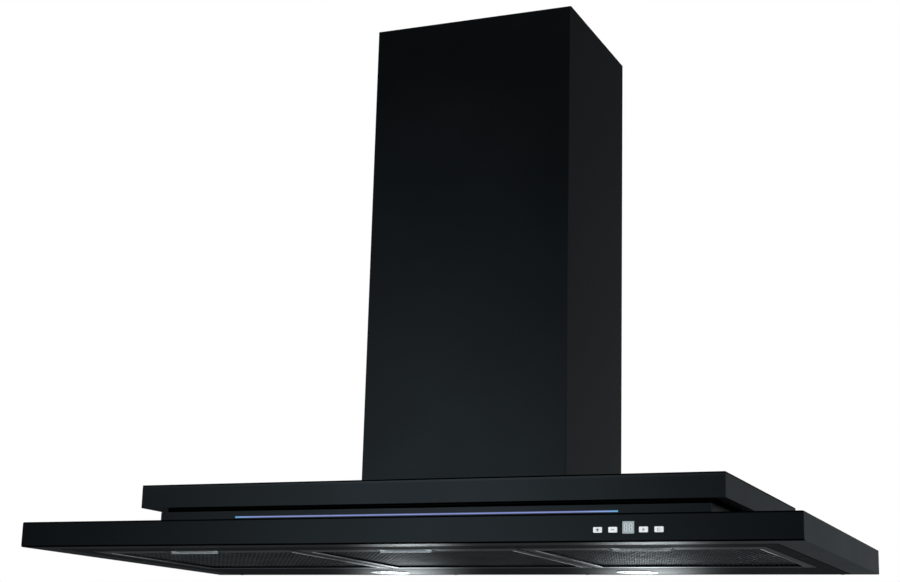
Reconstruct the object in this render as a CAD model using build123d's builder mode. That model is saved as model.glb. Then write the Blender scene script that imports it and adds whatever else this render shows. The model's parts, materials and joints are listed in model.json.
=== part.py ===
from build123d import *
import os

# Driving dimensions, in millimetres
canopy_width = 1200
canopy_depth = 600
lower_height = 38
neck_width = 890
neck_depth = 455
neck_height = 33
upper_width = 940
upper_depth = 475
upper_height = 36
chimney_width = 350
chimney_depth = 290
chimney_height = 800
extension_height = 450
bracket_height = 280
fascia_thickness = 4
canopy_sheet = 1.5
chimney_sheet = 1.0
box_sheet = 1.2

# Levels: the wall bracket's screws are centred on the origin, the wall is the plane Y = 0
# and the front of the hood faces -Y
underside = -bracket_height
lower_top = underside + lower_height
neck_top = lower_top + neck_height
upper_top = neck_top + upper_height
chimney_top = upper_top + chimney_height

# Openings one above the other, through which the air rises
shell_depth = canopy_depth - fascia_thickness
opening_rear = -12
throat_width = 860
throat_front = -440
soffit_opening_width = 850
soffit_opening_front = -435
intake_width = 270
intake_front = -255

# Underside: a rim round three edges, a groove, and the pan with the three filters
rim_width = 42
groove = 2.5
pan_half_width = canopy_width / 2 - rim_width - groove
pan_front = -canopy_depth + rim_width + groove
pan_rear = -canopy_sheet - 0.2
aperture_half_width = 532.5
aperture_front = -511.5
aperture_rear = -148.5
pan_flange_height = 12
filter_pitch = 356
filter_width = 350
filter_gap = 2
filter_thickness = 10
filter_front = aperture_front + filter_gap
filter_rear = aperture_rear - filter_gap
filter_names = {"left": -filter_pitch, "middle": 0, "right": filter_pitch}
lamp_x = 222
lamp_y = -65
lamp_names = {"left": -lamp_x, "right": lamp_x}
lamp_hole_radius = 29
screw_radius = 1.9
pan_screws_at = [(x, -541) for x in (-545, -182, 182, 545)]
pan_screws_at += [(x, -15) for x in (-545, -120, 120, 545)]
pan_screws_at += [(-548, -330), (548, -330)]

# Controls on the fascia
button_names = ["light", "minus", "plus", "power"]
button_pitch = 21
display_x = 369
display_z = underside + 19
button_z = underside + 16
button_xs = [display_x + step * button_pitch for step in (-2, -1, 1, 2)]
button_width = 12.2
button_height = 7.4
display_size = 16.2
control_gap = 0.2
button_proud = 1.2
switch_front = -588.6
button_travel = 1.0

# Light strip in the neck
strip_length = 620
strip_z = underside + 56.5
strip_slot = 3.6

# Shadow gap round the top of the neck, under the upper tier
shadow_gap_height = 5
shadow_gap_depth = 8

# Blower box, scroll, fan and motor
box_width = 290
box_front = -266
box_rear = -6
box_top = upper_top + 300
box_flange = 12
scroll_y = -132
scroll_z = -40
scroll_radius = 98
scroll_step = 6
scroll_wall = 2.5
scroll_half_width = 95
outlet_slant = 34
inlet_radius = 68
fan_y = scroll_y - 3
fan_z = scroll_z
fan_radius = 86
fan_half_width = 75
blade_count = 40
shaft_radius = 4
shaft_clearance = 0.05

# Duct collar and flaps
collar_y = -173
collar_radius = 74.5
collar_wall = 2
collar_bottom = box_top + box_sheet
collar_top = collar_bottom + 57
flap_z = collar_bottom + 10
flap_offset = 3
flap_radius = 71.4
peg_radius = 1.5
peg_clearance = 0.06


def span(centre, width):
    """The two limits of a width laid symmetrically about a centre."""
    return (centre - width / 2, centre + width / 2)


def block(x, y, z, mode=Mode.ADD):
    """Adds or cuts a block between the limits given on each axis."""
    with Locations(((x[0] + x[1]) / 2, (y[0] + y[1]) / 2, (z[0] + z[1]) / 2)):
        Box(x[1] - x[0], y[1] - y[0], z[1] - z[0], mode=mode)


def rod(x, y, z, radius, mode=Mode.ADD):
    """Adds or cuts a cylinder: the axis with two limits is the one it runs along."""
    if isinstance(x, tuple):
        place = Location(((x[0] + x[1]) / 2, y, z), (0, 90, 0))
        length = x[1] - x[0]
    elif isinstance(y, tuple):
        place = Location((x, (y[0] + y[1]) / 2, z), (90, 0, 0))
        length = y[1] - y[0]
    else:
        place = Location((x, y, (z[0] + z[1]) / 2))
        length = z[1] - z[0]
    with Locations(place):
        Cylinder(radius, length, mode=mode)


def save(piece, name):
    """Labels a finished piece and writes its STEP file."""
    piece.part.label = name
    export_step(piece.part, f"parts/{name}.step")


os.makedirs("parts", exist_ok=True)

# Lower tier: front fascia, folded shell and the pan underneath
with BuildPart() as lower_front_fascia:
    with BuildSketch(Plane.XZ.offset(shell_depth)):
        with Locations((0, (underside + lower_top) / 2)):
            RectangleRounded(canopy_width, lower_height, 2.5)
        with Locations([(x, button_z) for x in button_xs]):
            RectangleRounded(
                button_width + 2 * control_gap, button_height + 2 * control_gap, 1.2, mode=Mode.SUBTRACT
            )
        with Locations((display_x, display_z)):
            RectangleRounded(
                display_size + 2 * control_gap, display_size + 2 * control_gap, 1, mode=Mode.SUBTRACT
            )
    extrude(amount=fascia_thickness)
    front_face = lower_front_fascia.faces().sort_by(Axis.Y)[0]
    fillet(front_face.outer_wire().edges(), 0.6)
save(lower_front_fascia, "lower_front_fascia")

control_window_width = 112
control_window_height = 26
lug_width = 20
lug_thickness = 2
lug_z = (underside + canopy_sheet, underside + canopy_sheet + lug_thickness)
with BuildPart() as lower_canopy_shell:
    block(span(0, canopy_width), (-shell_depth, 0), (underside, lower_top))
    long_edges = lower_canopy_shell.edges().filter_by(Axis.Y)
    fillet(long_edges, 1.2)
    block(
        span(0, canopy_width - 2 * canopy_sheet),
        (-shell_depth + canopy_sheet, -canopy_sheet),
        (underside + canopy_sheet, lower_top - canopy_sheet),
        Mode.SUBTRACT,
    )
    block(
        span(0, canopy_width - 2 * rim_width),
        (-canopy_depth + rim_width, -canopy_sheet),
        (underside, underside + canopy_sheet),
        Mode.SUBTRACT,
    )
    block(
        span(0, throat_width),
        (throat_front, opening_rear),
        (lower_top - canopy_sheet, lower_top),
        Mode.SUBTRACT,
    )
    block(
        span(display_x, control_window_width),
        (-shell_depth, -shell_depth + canopy_sheet),
        span(underside + 18, control_window_height),
        Mode.SUBTRACT,
    )
    for x, y in pan_screws_at:
        if y < pan_front + lug_width:
            block(span(x, lug_width), (-canopy_depth + rim_width - 8, y + 10), lug_z)
        elif y > -lug_width:
            block(span(x, lug_width), (y - 10, -canopy_sheet), lug_z)
        elif x < 0:
            block((-canopy_width / 2 + rim_width - 8, x + 6), span(y, lug_width), lug_z)
        else:
            block((x - 6, canopy_width / 2 - rim_width + 8), span(y, lug_width), lug_z)
        rod(x, y, lug_z, screw_radius, Mode.SUBTRACT)
save(lower_canopy_shell, "lower_canopy_shell")

with BuildPart() as underside_pan:
    with BuildSketch(Plane.XY.offset(underside)):
        with Locations((0, (pan_front + pan_rear) / 2)):
            Rectangle(2 * pan_half_width, pan_rear - pan_front)
        with Locations((0, (aperture_front + aperture_rear) / 2)):
            Rectangle(2 * aperture_half_width, aperture_rear - aperture_front, mode=Mode.SUBTRACT)
        with Locations([(x, lamp_y) for x in lamp_names.values()]):
            Circle(lamp_hole_radius, mode=Mode.SUBTRACT)
        with Locations(pan_screws_at):
            Circle(screw_radius + 0.3, mode=Mode.SUBTRACT)
    extrude(amount=canopy_sheet)
    for side in (-1, 1):
        inner = side * aperture_half_width
        outer = side * (aperture_half_width + canopy_sheet)
        block(
            (min(inner, outer), max(inner, outer)),
            (aperture_front, aperture_rear),
            (underside, underside + pan_flange_height),
        )
save(underside_pan, "underside_pan")

with BuildPart() as pan_screws:
    for x, y in pan_screws_at:
        rod(x, y, (underside - 1.2, underside), 3.8)
        rod(x, y, (underside, underside + 8), screw_radius)
    heads = pan_screws.edges().filter_by(GeomType.CIRCLE).group_by(Axis.Z)[0]
    fillet(heads, 0.8)
    for x, y in pan_screws_at:
        block(span(x, 4.4), span(y, 0.9), (underside - 1.2, underside - 0.5), Mode.SUBTRACT)
        block(span(x, 0.9), span(y, 4.4), (underside - 1.2, underside - 0.5), Mode.SUBTRACT)
save(pan_screws, "pan_screws")

# Two inverted T-shaped dividers that stand between the filters on bent feet
rail_web = 2
rail_cap_width = 24
rail_foot = 12
with BuildPart() as filter_rails:
    for x in (-filter_pitch / 2, filter_pitch / 2):
        cap_bottom = underside + pan_flange_height
        block(
            span(x, rail_web),
            (aperture_front + 0.2, aperture_rear - 0.2),
            (underside + 0.5, cap_bottom),
        )
        block(
            span(x, rail_cap_width),
            (aperture_front - 8, aperture_rear + 8),
            (cap_bottom, cap_bottom + canopy_sheet),
        )
        for leg_front, foot_front in (
            (aperture_front - 8, aperture_front - 8 - rail_foot + canopy_sheet),
            (aperture_rear + 8 - canopy_sheet, aperture_rear + 8 - canopy_sheet),
        ):
            block(
                span(x, rail_cap_width),
                (leg_front, leg_front + canopy_sheet),
                (underside + canopy_sheet, cap_bottom),
            )
            block(
                span(x, rail_cap_width),
                (foot_front, foot_front + rail_foot),
                (underside + canopy_sheet, underside + 2 * canopy_sheet),
            )
save(filter_rails, "filter_rails")

# Filters: frame, mesh pad, sliding latch with its two return springs
side_rail = 16
front_rail = 33
rear_rail = 16
mesh_low = underside + 3
mesh_high = underside + 7
mesh_grip = 4
mesh_front = filter_front + front_rail
mesh_rear = filter_rear - rear_rail
mesh_opening = filter_width - 2 * side_rail
latch_width = 86
lip_width = 82
lip_drop = 3
lip_thickness = 1.5
latch_front = filter_front + 6.5
latch_rear = latch_front + 12
latch_low = underside + 0.3
latch_high = underside + 6.5
lip_rear = latch_rear - 0.5
pocket_front = filter_front + 4.5
pocket_rear = latch_rear + 6
pocket_high = underside + 7
tongue_low = underside + 2.3
tongue_high = underside + 5.5
tongue_reach = 3.5
tongue_width = 60
finger_width = 64
spring_x = 36
spring_z = underside + 3.4
spring_bore = 1.9
spring_depth = 8
spring_radius = 1.4
spring_wire = 0.25
spring_turns = 6
for name, x in filter_names.items():
    with BuildPart() as frame:
        block(span(x, filter_width), (filter_front, filter_rear), (underside, underside + filter_thickness))
        fillet(frame.edges().filter_by(Axis.Z), 3)
        block(
            span(x, mesh_opening),
            (mesh_front, mesh_rear),
            (underside, underside + filter_thickness),
            Mode.SUBTRACT,
        )
        block(
            span(x, mesh_opening + 2 * mesh_grip),
            (mesh_front - mesh_grip, mesh_rear + mesh_grip),
            (mesh_low, mesh_high),
            Mode.SUBTRACT,
        )
        block(
            span(x, latch_width + 6),
            (pocket_front, pocket_rear),
            (underside, pocket_high),
            Mode.SUBTRACT,
        )
        block(
            span(x, tongue_width + 4),
            (filter_front, pocket_front),
            (tongue_low - 0.4, tongue_high + 0.5),
            Mode.SUBTRACT,
        )
        for tongue_x in (x - 120, x + 120):
            block(
                span(tongue_x, 40),
                (filter_rear - 0.5, filter_rear + 8),
                (underside + canopy_sheet + 0.1, underside + canopy_sheet + 1.7),
            )
    save(frame, f"filter_frame_{name}")

    with BuildPart() as mesh:
        block(
            span(x, mesh_opening + 2 * mesh_grip),
            (mesh_front - mesh_grip, mesh_rear + mesh_grip),
            (mesh_low, mesh_high),
        )
    save(mesh, f"filter_mesh_{name}")

    with BuildPart() as latch:
        block(span(x, latch_width), (latch_front, latch_rear), (latch_low, latch_high))
        fillet(latch.edges().filter_by(Axis.Z), 1.5)
        block(
            span(x, tongue_width),
            (aperture_front - tongue_reach, latch_front),
            (tongue_low, tongue_high),
        )
        block(
            span(x, finger_width),
            (latch_front + 3, latch_rear - 2),
            (latch_low, latch_low + 3.4),
            Mode.SUBTRACT,
        )
        for side in (-spring_x, spring_x):
            rod(x + side, (latch_rear - spring_depth, latch_rear), spring_z, spring_bore, Mode.SUBTRACT)
        block(
            span(x, lip_width),
            (lip_rear - lip_thickness, lip_rear),
            (underside - lip_drop, latch_low),
        )
        fillet(latch.edges().group_by(Axis.Z)[0], 0.5)
    save(latch, f"filter_latch_{name}")

    with BuildPart() as spring:
        spring_length = pocket_rear - latch_rear + spring_depth - 2 * spring_wire
        start = latch_rear - spring_depth + spring_wire
        for side in (-spring_x, spring_x):
            with BuildLine():
                coil = Helix(
                    spring_length / spring_turns,
                    spring_length,
                    spring_radius,
                    center=(x + side, start, spring_z),
                    direction=(0, 1, 0),
                )
            with BuildSketch(Plane(coil @ 0, z_dir=coil % 0)):
                RegularPolygon(spring_wire, 8)
            sweep(path=coil, is_frenet=True)
    save(spring, f"latch_spring_{name}")

# Lamps in the rear rim, and the driver that feeds them
for name, x in lamp_names.items():
    with BuildPart() as bezel:
        rod(x, lamp_y, (underside - 1.2, underside), 34)
        fillet(bezel.edges().group_by(Axis.Z)[0], 0.8)
        rod(x, lamp_y, (underside, underside + 9), 28.7)
        rod(x, lamp_y, (underside, underside + 9), 27, Mode.SUBTRACT)
        rod(x, lamp_y, (underside - 1.2, underside), 23.5, Mode.SUBTRACT)
    save(bezel, f"lamp_bezel_{name}")

    with BuildPart() as lens:
        rod(x, lamp_y, (underside, underside + 2), 26.8)
    save(lens, f"lamp_lens_{name}")

terminal_x = lamp_x - 34
with BuildPart() as lamp_heatsinks:
    for x in lamp_names.values():
        rod(x, lamp_y, (underside + 9, underside + 31), 28)
        for slot in range(-3, 4):
            block(span(x, 60), span(lamp_y + slot * 7, 3), (underside + 14, underside + 31), Mode.SUBTRACT)
        side = 1 if x > 0 else -1
        near, far = side * terminal_x, side * (terminal_x + 14)
        block((min(near, far), max(near, far)), span(lamp_y, 12), (underside + 9, underside + 19))
save(lamp_heatsinks, "lamp_heatsinks")

driver_half_length = 60
with BuildPart() as led_driver:
    block(span(0, 2 * driver_half_length), (-90, -42), (underside + canopy_sheet, underside + 26))
    chamfer(led_driver.edges().filter_by(Axis.Z), 3)
    fillet(led_driver.faces().sort_by(Axis.Z)[-1].edges(), 1)
    for x in (-52, 52):
        rod(x, -66, (underside + canopy_sheet, underside + 26), 2.2, Mode.SUBTRACT)
save(led_driver, "led_driver")

# Neck between the tiers, with its light strip
neck_flange = 12
gap_bottom = neck_top - shadow_gap_height
with BuildPart() as neck_wrap:
    block(span(0, neck_width), (-neck_depth, 0), (lower_top, gap_bottom))
    fillet(neck_wrap.edges().filter_by(Axis.Z), 1.2)
    block(
        span(0, neck_width - 2 * canopy_sheet),
        (-neck_depth + canopy_sheet, -canopy_sheet),
        (lower_top + canopy_sheet, gap_bottom - canopy_sheet),
        Mode.SUBTRACT,
    )
    block(
        span(0, neck_width - 2 * shadow_gap_depth),
        (-neck_depth + shadow_gap_depth, 0),
        (gap_bottom, neck_top),
    )
    block(
        span(0, neck_width - 2 * shadow_gap_depth - 2 * canopy_sheet),
        (-neck_depth + shadow_gap_depth + canopy_sheet, -canopy_sheet),
        (gap_bottom - canopy_sheet, neck_top - canopy_sheet),
        Mode.SUBTRACT,
    )
    block(
        span(0, neck_width - 2 * canopy_sheet - 2 * neck_flange),
        (-neck_depth + canopy_sheet + neck_flange, opening_rear),
        (lower_top, neck_top),
        Mode.SUBTRACT,
    )
    block(
        span(0, strip_length),
        (-neck_depth, -neck_depth + canopy_sheet),
        span(strip_z, strip_slot),
        Mode.SUBTRACT,
    )
save(neck_wrap, "neck_wrap")

neck_inner_front = -neck_depth + canopy_sheet
channel_height = 14
channel_depth = 10
with BuildPart() as led_channel:
    block(
        span(0, strip_length + 4),
        (neck_inner_front, neck_inner_front + channel_depth),
        span(strip_z, channel_height),
    )
    block(
        span(0, strip_length + 1),
        (neck_inner_front, neck_inner_front + channel_depth - 1.5),
        span(strip_z, channel_height - 3),
        Mode.SUBTRACT,
    )
save(led_channel, "led_channel")

with BuildPart() as led_diffuser:
    block(
        span(0, strip_length - 0.4),
        (-neck_depth + 0.1, neck_inner_front),
        span(strip_z, strip_slot - 0.2),
    )
    block(
        span(0, strip_length + 0.6),
        (neck_inner_front, neck_inner_front + 3),
        span(strip_z, channel_height - 3.2),
    )
save(led_diffuser, "led_diffuser")

led_pitch = 20
led_count = 31
board_back = neck_inner_front + channel_depth - 1.5
with BuildPart() as led_board:
    block(span(0, strip_length), (board_back - 1.6, board_back), span(strip_z, 10))
    for index in range(led_count):
        x = (index - (led_count - 1) / 2) * led_pitch
        block(span(x, 5), (board_back - 2.6, board_back - 1.6), span(strip_z, 3))
save(led_board, "led_board")

# Upper tier
with BuildPart() as upper_canopy_shell:
    block(span(0, upper_width), (-upper_depth, 0), (neck_top, upper_top))
    fillet(upper_canopy_shell.edges().filter_by(Axis.Z), 1.2)
    fillet(upper_canopy_shell.faces().sort_by(Axis.Z)[-1].edges(), 1)
    block(
        span(0, upper_width - 2 * canopy_sheet),
        (-upper_depth + canopy_sheet, -canopy_sheet),
        (neck_top, upper_top - canopy_sheet),
        Mode.SUBTRACT,
    )
    block(
        span(0, intake_width),
        (intake_front, opening_rear),
        (upper_top - canopy_sheet, upper_top),
        Mode.SUBTRACT,
    )
save(upper_canopy_shell, "upper_canopy_shell")

with BuildPart() as upper_canopy_soffit:
    block(
        span(0, upper_width - 2 * canopy_sheet - 0.2),
        (-upper_depth + canopy_sheet + 0.1, -canopy_sheet - 0.1),
        (neck_top, neck_top + canopy_sheet),
    )
    block(
        span(0, soffit_opening_width),
        (soffit_opening_front, opening_rear),
        (neck_top, neck_top + canopy_sheet),
        Mode.SUBTRACT,
    )
save(upper_canopy_soffit, "upper_canopy_soffit")

# Chimney: the visible lower cover, the cover that slides up inside it, and its wall bracket
return_width = 18
base_flange = 14
slide_gap = 1.5
ledge_reach = 6.5
with BuildPart() as chimney_lower_cover:
    with BuildSketch(Plane.XY.offset(upper_top)):
        with Locations((0, -chimney_depth / 2)):
            RectangleRounded(chimney_width, chimney_depth, 1.5)
            RectangleRounded(
                chimney_width - 2 * chimney_sheet, chimney_depth - 2 * chimney_sheet, 0.5, mode=Mode.SUBTRACT
            )
        with Locations((0, -chimney_sheet / 2)):
            Rectangle(chimney_width - 2 * return_width, chimney_sheet, mode=Mode.SUBTRACT)
    extrude(amount=chimney_height)
    inner_half = chimney_width / 2 - chimney_sheet
    inner_front = -chimney_depth + chimney_sheet
    base_z = (upper_top, upper_top + chimney_sheet)
    block((-inner_half, inner_half), (inner_front, inner_front + base_flange), base_z)
    extension_bottom = chimney_top - extension_height
    ledge_z = (extension_bottom - 1.5, extension_bottom)
    for side in (-1, 1):
        flange_x = sorted((side * inner_half, side * (inner_half - base_flange)))
        block(flange_x, (inner_front, -chimney_sheet), base_z)
        ledge_x = sorted((side * inner_half, side * (inner_half - ledge_reach)))
        for y in (-210, -80):
            block(ledge_x, span(y, 30), ledge_z)
save(chimney_lower_cover, "chimney_lower_cover")

extension_half = chimney_width / 2 - chimney_sheet - slide_gap
extension_front = -chimney_depth + chimney_sheet + slide_gap
extension_rear = -2
extension_depth = extension_rear - extension_front
vent_count = 6
vent_pitch = 14
with BuildPart() as chimney_upper_cover:
    with BuildSketch(Plane.XY.offset(extension_bottom)):
        with Locations((0, (extension_front + extension_rear) / 2)):
            RectangleRounded(2 * extension_half, extension_depth, 1.5)
            RectangleRounded(
                2 * (extension_half - chimney_sheet),
                extension_depth - 2 * chimney_sheet,
                0.5,
                mode=Mode.SUBTRACT,
            )
        with Locations((0, extension_rear - chimney_sheet / 2)):
            Rectangle(2 * (extension_half - return_width), chimney_sheet, mode=Mode.SUBTRACT)
    extrude(amount=extension_height)
    for row in range(vent_count):
        vent_z = chimney_top - 70 - row * vent_pitch
        block((-extension_half, extension_half), span(-150, 120), span(vent_z, 5), Mode.SUBTRACT)
save(chimney_upper_cover, "chimney_upper_cover")

chimney_screw_spacing = 200
chimney_bracket_z = chimney_top - 25
strap_rear = -3.5
strap_thickness = 1.5
with BuildPart() as chimney_wall_bracket:
    arm_outer = extension_half - chimney_sheet
    strap_z = span(chimney_bracket_z, 30)
    block((-arm_outer, arm_outer), (strap_rear - strap_thickness, strap_rear), strap_z)
    for side in (-1, 1):
        arm_x = sorted((side * arm_outer, side * (arm_outer - strap_thickness)))
        block(arm_x, (-45, strap_rear), strap_z)
        screw_x = side * chimney_screw_spacing / 2
        rod(screw_x, (strap_rear, 0), chimney_bracket_z, 9)
        rod(screw_x, (strap_rear - strap_thickness, 0), chimney_bracket_z, 3.2, Mode.SUBTRACT)
save(chimney_wall_bracket, "chimney_wall_bracket")

# Wall bracket: four screw holes, and a hook along its top that carries the blower box
bracket_spacing_x = 190
bracket_spacing_z = 30
bracket_hole = 4.2
hook_top = 30
hook_width = 220
with BuildPart() as wall_bracket:
    with BuildSketch(Plane.XZ):
        RectangleRounded(240, 60, 4)
        with GridLocations(bracket_spacing_x, bracket_spacing_z, 2, 2):
            Circle(bracket_hole, mode=Mode.SUBTRACT)
    extrude(amount=3)
    block(span(0, hook_width), (-13, -3), (hook_top - 2.5, hook_top))
    block(span(0, hook_width), (-13, -10.5), (hook_top - 2.5, hook_top + 10))
save(wall_bracket, "wall_bracket")

# Blower box: a folded shell hung on the wall bracket, a front cover and a top plate
box_half = box_width / 2
with BuildPart() as blower_box_shell:
    block((-box_half, box_half), (box_rear - box_sheet, box_rear), (upper_top, box_top))
    for side in (-1, 1):
        wall_x = sorted((side * box_half, side * (box_half - box_sheet)))
        flange_x = sorted((side * box_half, side * (box_half + box_flange)))
        fold_x = sorted((side * box_half, side * (box_half - box_flange)))
        block(wall_x, (box_front, box_rear), (upper_top, box_top))
        block(flange_x, (box_front, box_rear), (upper_top, upper_top + box_sheet))
        block(fold_x, (box_front, box_front + box_sheet), (upper_top, box_top))
        block(fold_x, (box_front, box_rear), (box_top - box_sheet, box_top))
    block((-122, 122), (box_rear - box_sheet, box_rear), (-28, hook_top), Mode.SUBTRACT)
save(blower_box_shell, "blower_box_shell")

with BuildPart() as blower_box_front:
    with BuildSketch(Plane.XZ.offset(-box_front)):
        with Locations((0, (upper_top + 2 + box_top) / 2)):
            Rectangle(box_width, box_top - upper_top - 2)
        for z in (upper_top + 20, box_top - 20):
            with Locations([(x, z) for x in (-box_half + 6, box_half - 6)]):
                Circle(2.2, mode=Mode.SUBTRACT)
    extrude(amount=box_sheet)
save(blower_box_front, "blower_box_front")

control_lead = (-60, -52)
motor_lead = (20, -48)
with BuildPart() as blower_box_top:
    with BuildSketch(Plane.XY.offset(box_top)):
        with Locations((0, (box_front - box_sheet + box_rear) / 2)):
            Rectangle(box_width, box_rear - box_front + box_sheet)
        with Locations((0, collar_y)):
            Circle(73, mode=Mode.SUBTRACT)
        with Locations(control_lead, motor_lead):
            Circle(5, mode=Mode.SUBTRACT)
    extrude(amount=box_sheet)
save(blower_box_top, "blower_box_top")


def volute(wall, tongue_angle):
    """Draws the scroll's outline: three quarter arcs of growing radius and an outlet to the top."""
    first = scroll_radius + wall
    second = first + scroll_step
    third = second + scroll_step
    rear = CenterArc((scroll_y, scroll_z), first, tongue_angle, -tongue_angle)
    CenterArc((scroll_y - scroll_step, scroll_z), second, 0, -90)
    front = CenterArc((scroll_y - scroll_step, scroll_z + scroll_step), third, -90, -90)
    outlet_rear = scroll_y + outlet_slant + wall
    Polyline(front @ 1, ((front @ 1).X, box_top), (outlet_rear, box_top), rear @ 0)


# Scroll housing in two halves that meet at the middle
outlet_flange = 8
for side, name in ((-1, "left"), (1, "right")):
    with BuildPart() as half:
        with BuildSketch(Plane.YZ):
            with BuildLine():
                volute(scroll_wall, 70)
            make_face()
        extrude(amount=side * scroll_half_width)
        outlet_front = scroll_y - 3 * scroll_step - scroll_radius
        flange_x = sorted((0, side * (scroll_half_width + outlet_flange)))
        block(
            flange_x,
            (outlet_front - scroll_wall - outlet_flange, scroll_y + outlet_slant + scroll_wall + outlet_flange),
            (box_top - scroll_wall, box_top),
        )
        with BuildSketch(Plane.YZ):
            with BuildLine():
                volute(0, 90)
            make_face()
        extrude(amount=side * (scroll_half_width - scroll_wall), mode=Mode.SUBTRACT)
        lip_x = sorted((side * scroll_half_width, side * (scroll_half_width + 1.5)))
        rod(tuple(lip_x), fan_y, fan_z, inlet_radius + 3)
        bore_x = sorted((side * (scroll_half_width - scroll_wall), side * (scroll_half_width + 1.5)))
        rod(tuple(bore_x), fan_y, fan_z, inlet_radius, Mode.SUBTRACT)
    save(half, f"scroll_{name}")

# Double-inlet impeller on its shaft
blade_line = Edge.make_three_point_arc((72, 0), (79.5, 2.5), (84.5, 9))
with BuildPart() as impeller:
    with BuildSketch(Plane.YZ.offset(-fan_half_width)):
        with Locations((fan_y, fan_z)):
            with PolarLocations(0, blade_count):
                SlotArc(blade_line, 1.2)
    extrude(amount=2 * fan_half_width)
    rod((-1.5, 1.5), fan_y, fan_z, fan_radius)
    rod((-14, 9), fan_y, fan_z, 12)
    rod((-14, 9), fan_y, fan_z, shaft_radius, Mode.SUBTRACT)
    for x in (-fan_half_width, fan_half_width - 2):
        with BuildSketch(Plane.YZ.offset(x)):
            with Locations((fan_y, fan_z)):
                Circle(fan_radius)
                Circle(70, mode=Mode.SUBTRACT)
        extrude(amount=2)
save(impeller, "impeller")

with BuildPart() as motor_shaft:
    rod((-18, 32), fan_y, fan_z, shaft_radius)
    chamfer(motor_shaft.edges().filter_by(GeomType.CIRCLE), 0.5)
save(motor_shaft, "motor_shaft")

bracket_x = scroll_half_width + 2
with BuildPart() as motor_body:
    rod((12, 80), fan_y, fan_z, 42)
    fillet(motor_body.edges().filter_by(GeomType.CIRCLE), 4)
    rod((80, bracket_x), fan_y, fan_z, 30)
    rod((12, 34), fan_y, fan_z, shaft_radius + shaft_clearance, Mode.SUBTRACT)
save(motor_body, "motor_body")

grommet_angles = (90, 210, 330)
grommet_circle = 79
with BuildPart() as motor_bracket:
    with BuildSketch(Plane.YZ.offset(bracket_x)):
        with Locations((fan_y, fan_z)):
            Circle(86)
            Circle(70, mode=Mode.SUBTRACT)
            Circle(32)
            with PolarLocations(0, 3, start_angle=30):
                with Locations((-50, 0)):
                    Rectangle(44, 14)
            with PolarLocations(grommet_circle, 3, start_angle=90):
                Circle(3, mode=Mode.SUBTRACT)
            Circle(10, mode=Mode.SUBTRACT)
    extrude(amount=2.5)
save(motor_bracket, "motor_bracket")

with BuildPart() as motor_grommets:
    with BuildSketch(Plane.YZ.offset(scroll_half_width)):
        with Locations((fan_y, fan_z)):
            with PolarLocations(grommet_circle, 3, start_angle=90):
                Circle(6.5)
                Circle(3, mode=Mode.SUBTRACT)
    extrude(amount=bracket_x - scroll_half_width)
save(motor_grommets, "motor_grommets")

with BuildPart() as capacitor:
    rod((60, 122), -45, collar_bottom + 17.5, 17.5)
    fillet(capacitor.edges().filter_by(GeomType.CIRCLE), 2)
    for y in (-50, -40):
        block((56, 60), span(y, 4), span(collar_bottom + 17.5, 0.8))
save(capacitor, "capacitor")

# Duct collar with its two backdraught flaps on pegs
with BuildPart() as outlet_collar:
    with BuildSketch(Plane.XY.offset(collar_bottom)):
        with Locations((0, collar_y)):
            Circle(87)
            Circle(collar_radius - collar_wall, mode=Mode.SUBTRACT)
    extrude(amount=2)
    with BuildSketch(Plane.XY.offset(collar_bottom)):
        with Locations((0, collar_y)):
            Circle(collar_radius)
            Circle(collar_radius - collar_wall, mode=Mode.SUBTRACT)
    extrude(amount=collar_top - collar_bottom)
    for y in (collar_y - flap_offset, collar_y + flap_offset):
        rod((-collar_radius, collar_radius), y, flap_z, peg_radius + peg_clearance, Mode.SUBTRACT)
save(outlet_collar, "outlet_collar")

flap_thickness = 1.6
for side, name in ((-1, "front"), (1, "rear")):
    pivot_y = collar_y + side * flap_offset
    with BuildPart() as flap:
        with BuildSketch(Plane.XY.offset(flap_z - flap_thickness / 2)):
            with Locations((0, collar_y)):
                Circle(flap_radius)
            with Locations((0, pivot_y - side * flap_radius)):
                Rectangle(2 * flap_radius, 2 * flap_radius, mode=Mode.SUBTRACT)
        extrude(amount=flap_thickness)
        rod((-70, 70), pivot_y, flap_z, 2)
        rod((-74, 74), pivot_y, flap_z, peg_radius)
    save(flap, f"damper_flap_{name}")

# Junction box on the blower box, where the supply cable enters
junction_x = (-115, -15)
junction_y = (-80, -30)
junction_z = (collar_bottom, collar_bottom + 32)
junction_wall = 2
gland_x = -88
gland_y = -55
with BuildPart() as junction_box:
    block(junction_x, junction_y, junction_z)
    fillet(junction_box.edges().filter_by(Axis.Z), 3)
    block(
        (junction_x[0] + junction_wall, junction_x[1] - junction_wall),
        (junction_y[0], junction_y[1] - junction_wall),
        (junction_z[0] + junction_wall, junction_z[1] - junction_wall),
        Mode.SUBTRACT,
    )
    rod(gland_x, gland_y, (junction_z[1] - junction_wall, junction_z[1]), 8, Mode.SUBTRACT)
    rod(*control_lead, (junction_z[0], junction_z[0] + junction_wall), 5, Mode.SUBTRACT)
    rod((junction_x[1] - junction_wall, junction_x[1]), motor_lead[1], 145, 5, Mode.SUBTRACT)
save(junction_box, "junction_box")

with BuildPart() as junction_box_lid:
    block(
        (junction_x[0], junction_x[1]),
        (junction_y[0] - 2, junction_y[0]),
        junction_z,
    )
    fillet(junction_box_lid.edges().filter_by(Axis.Y), 3)
    fillet(junction_box_lid.faces().sort_by(Axis.Y)[0].edges(), 0.8)
save(junction_box_lid, "junction_box_lid")

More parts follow.
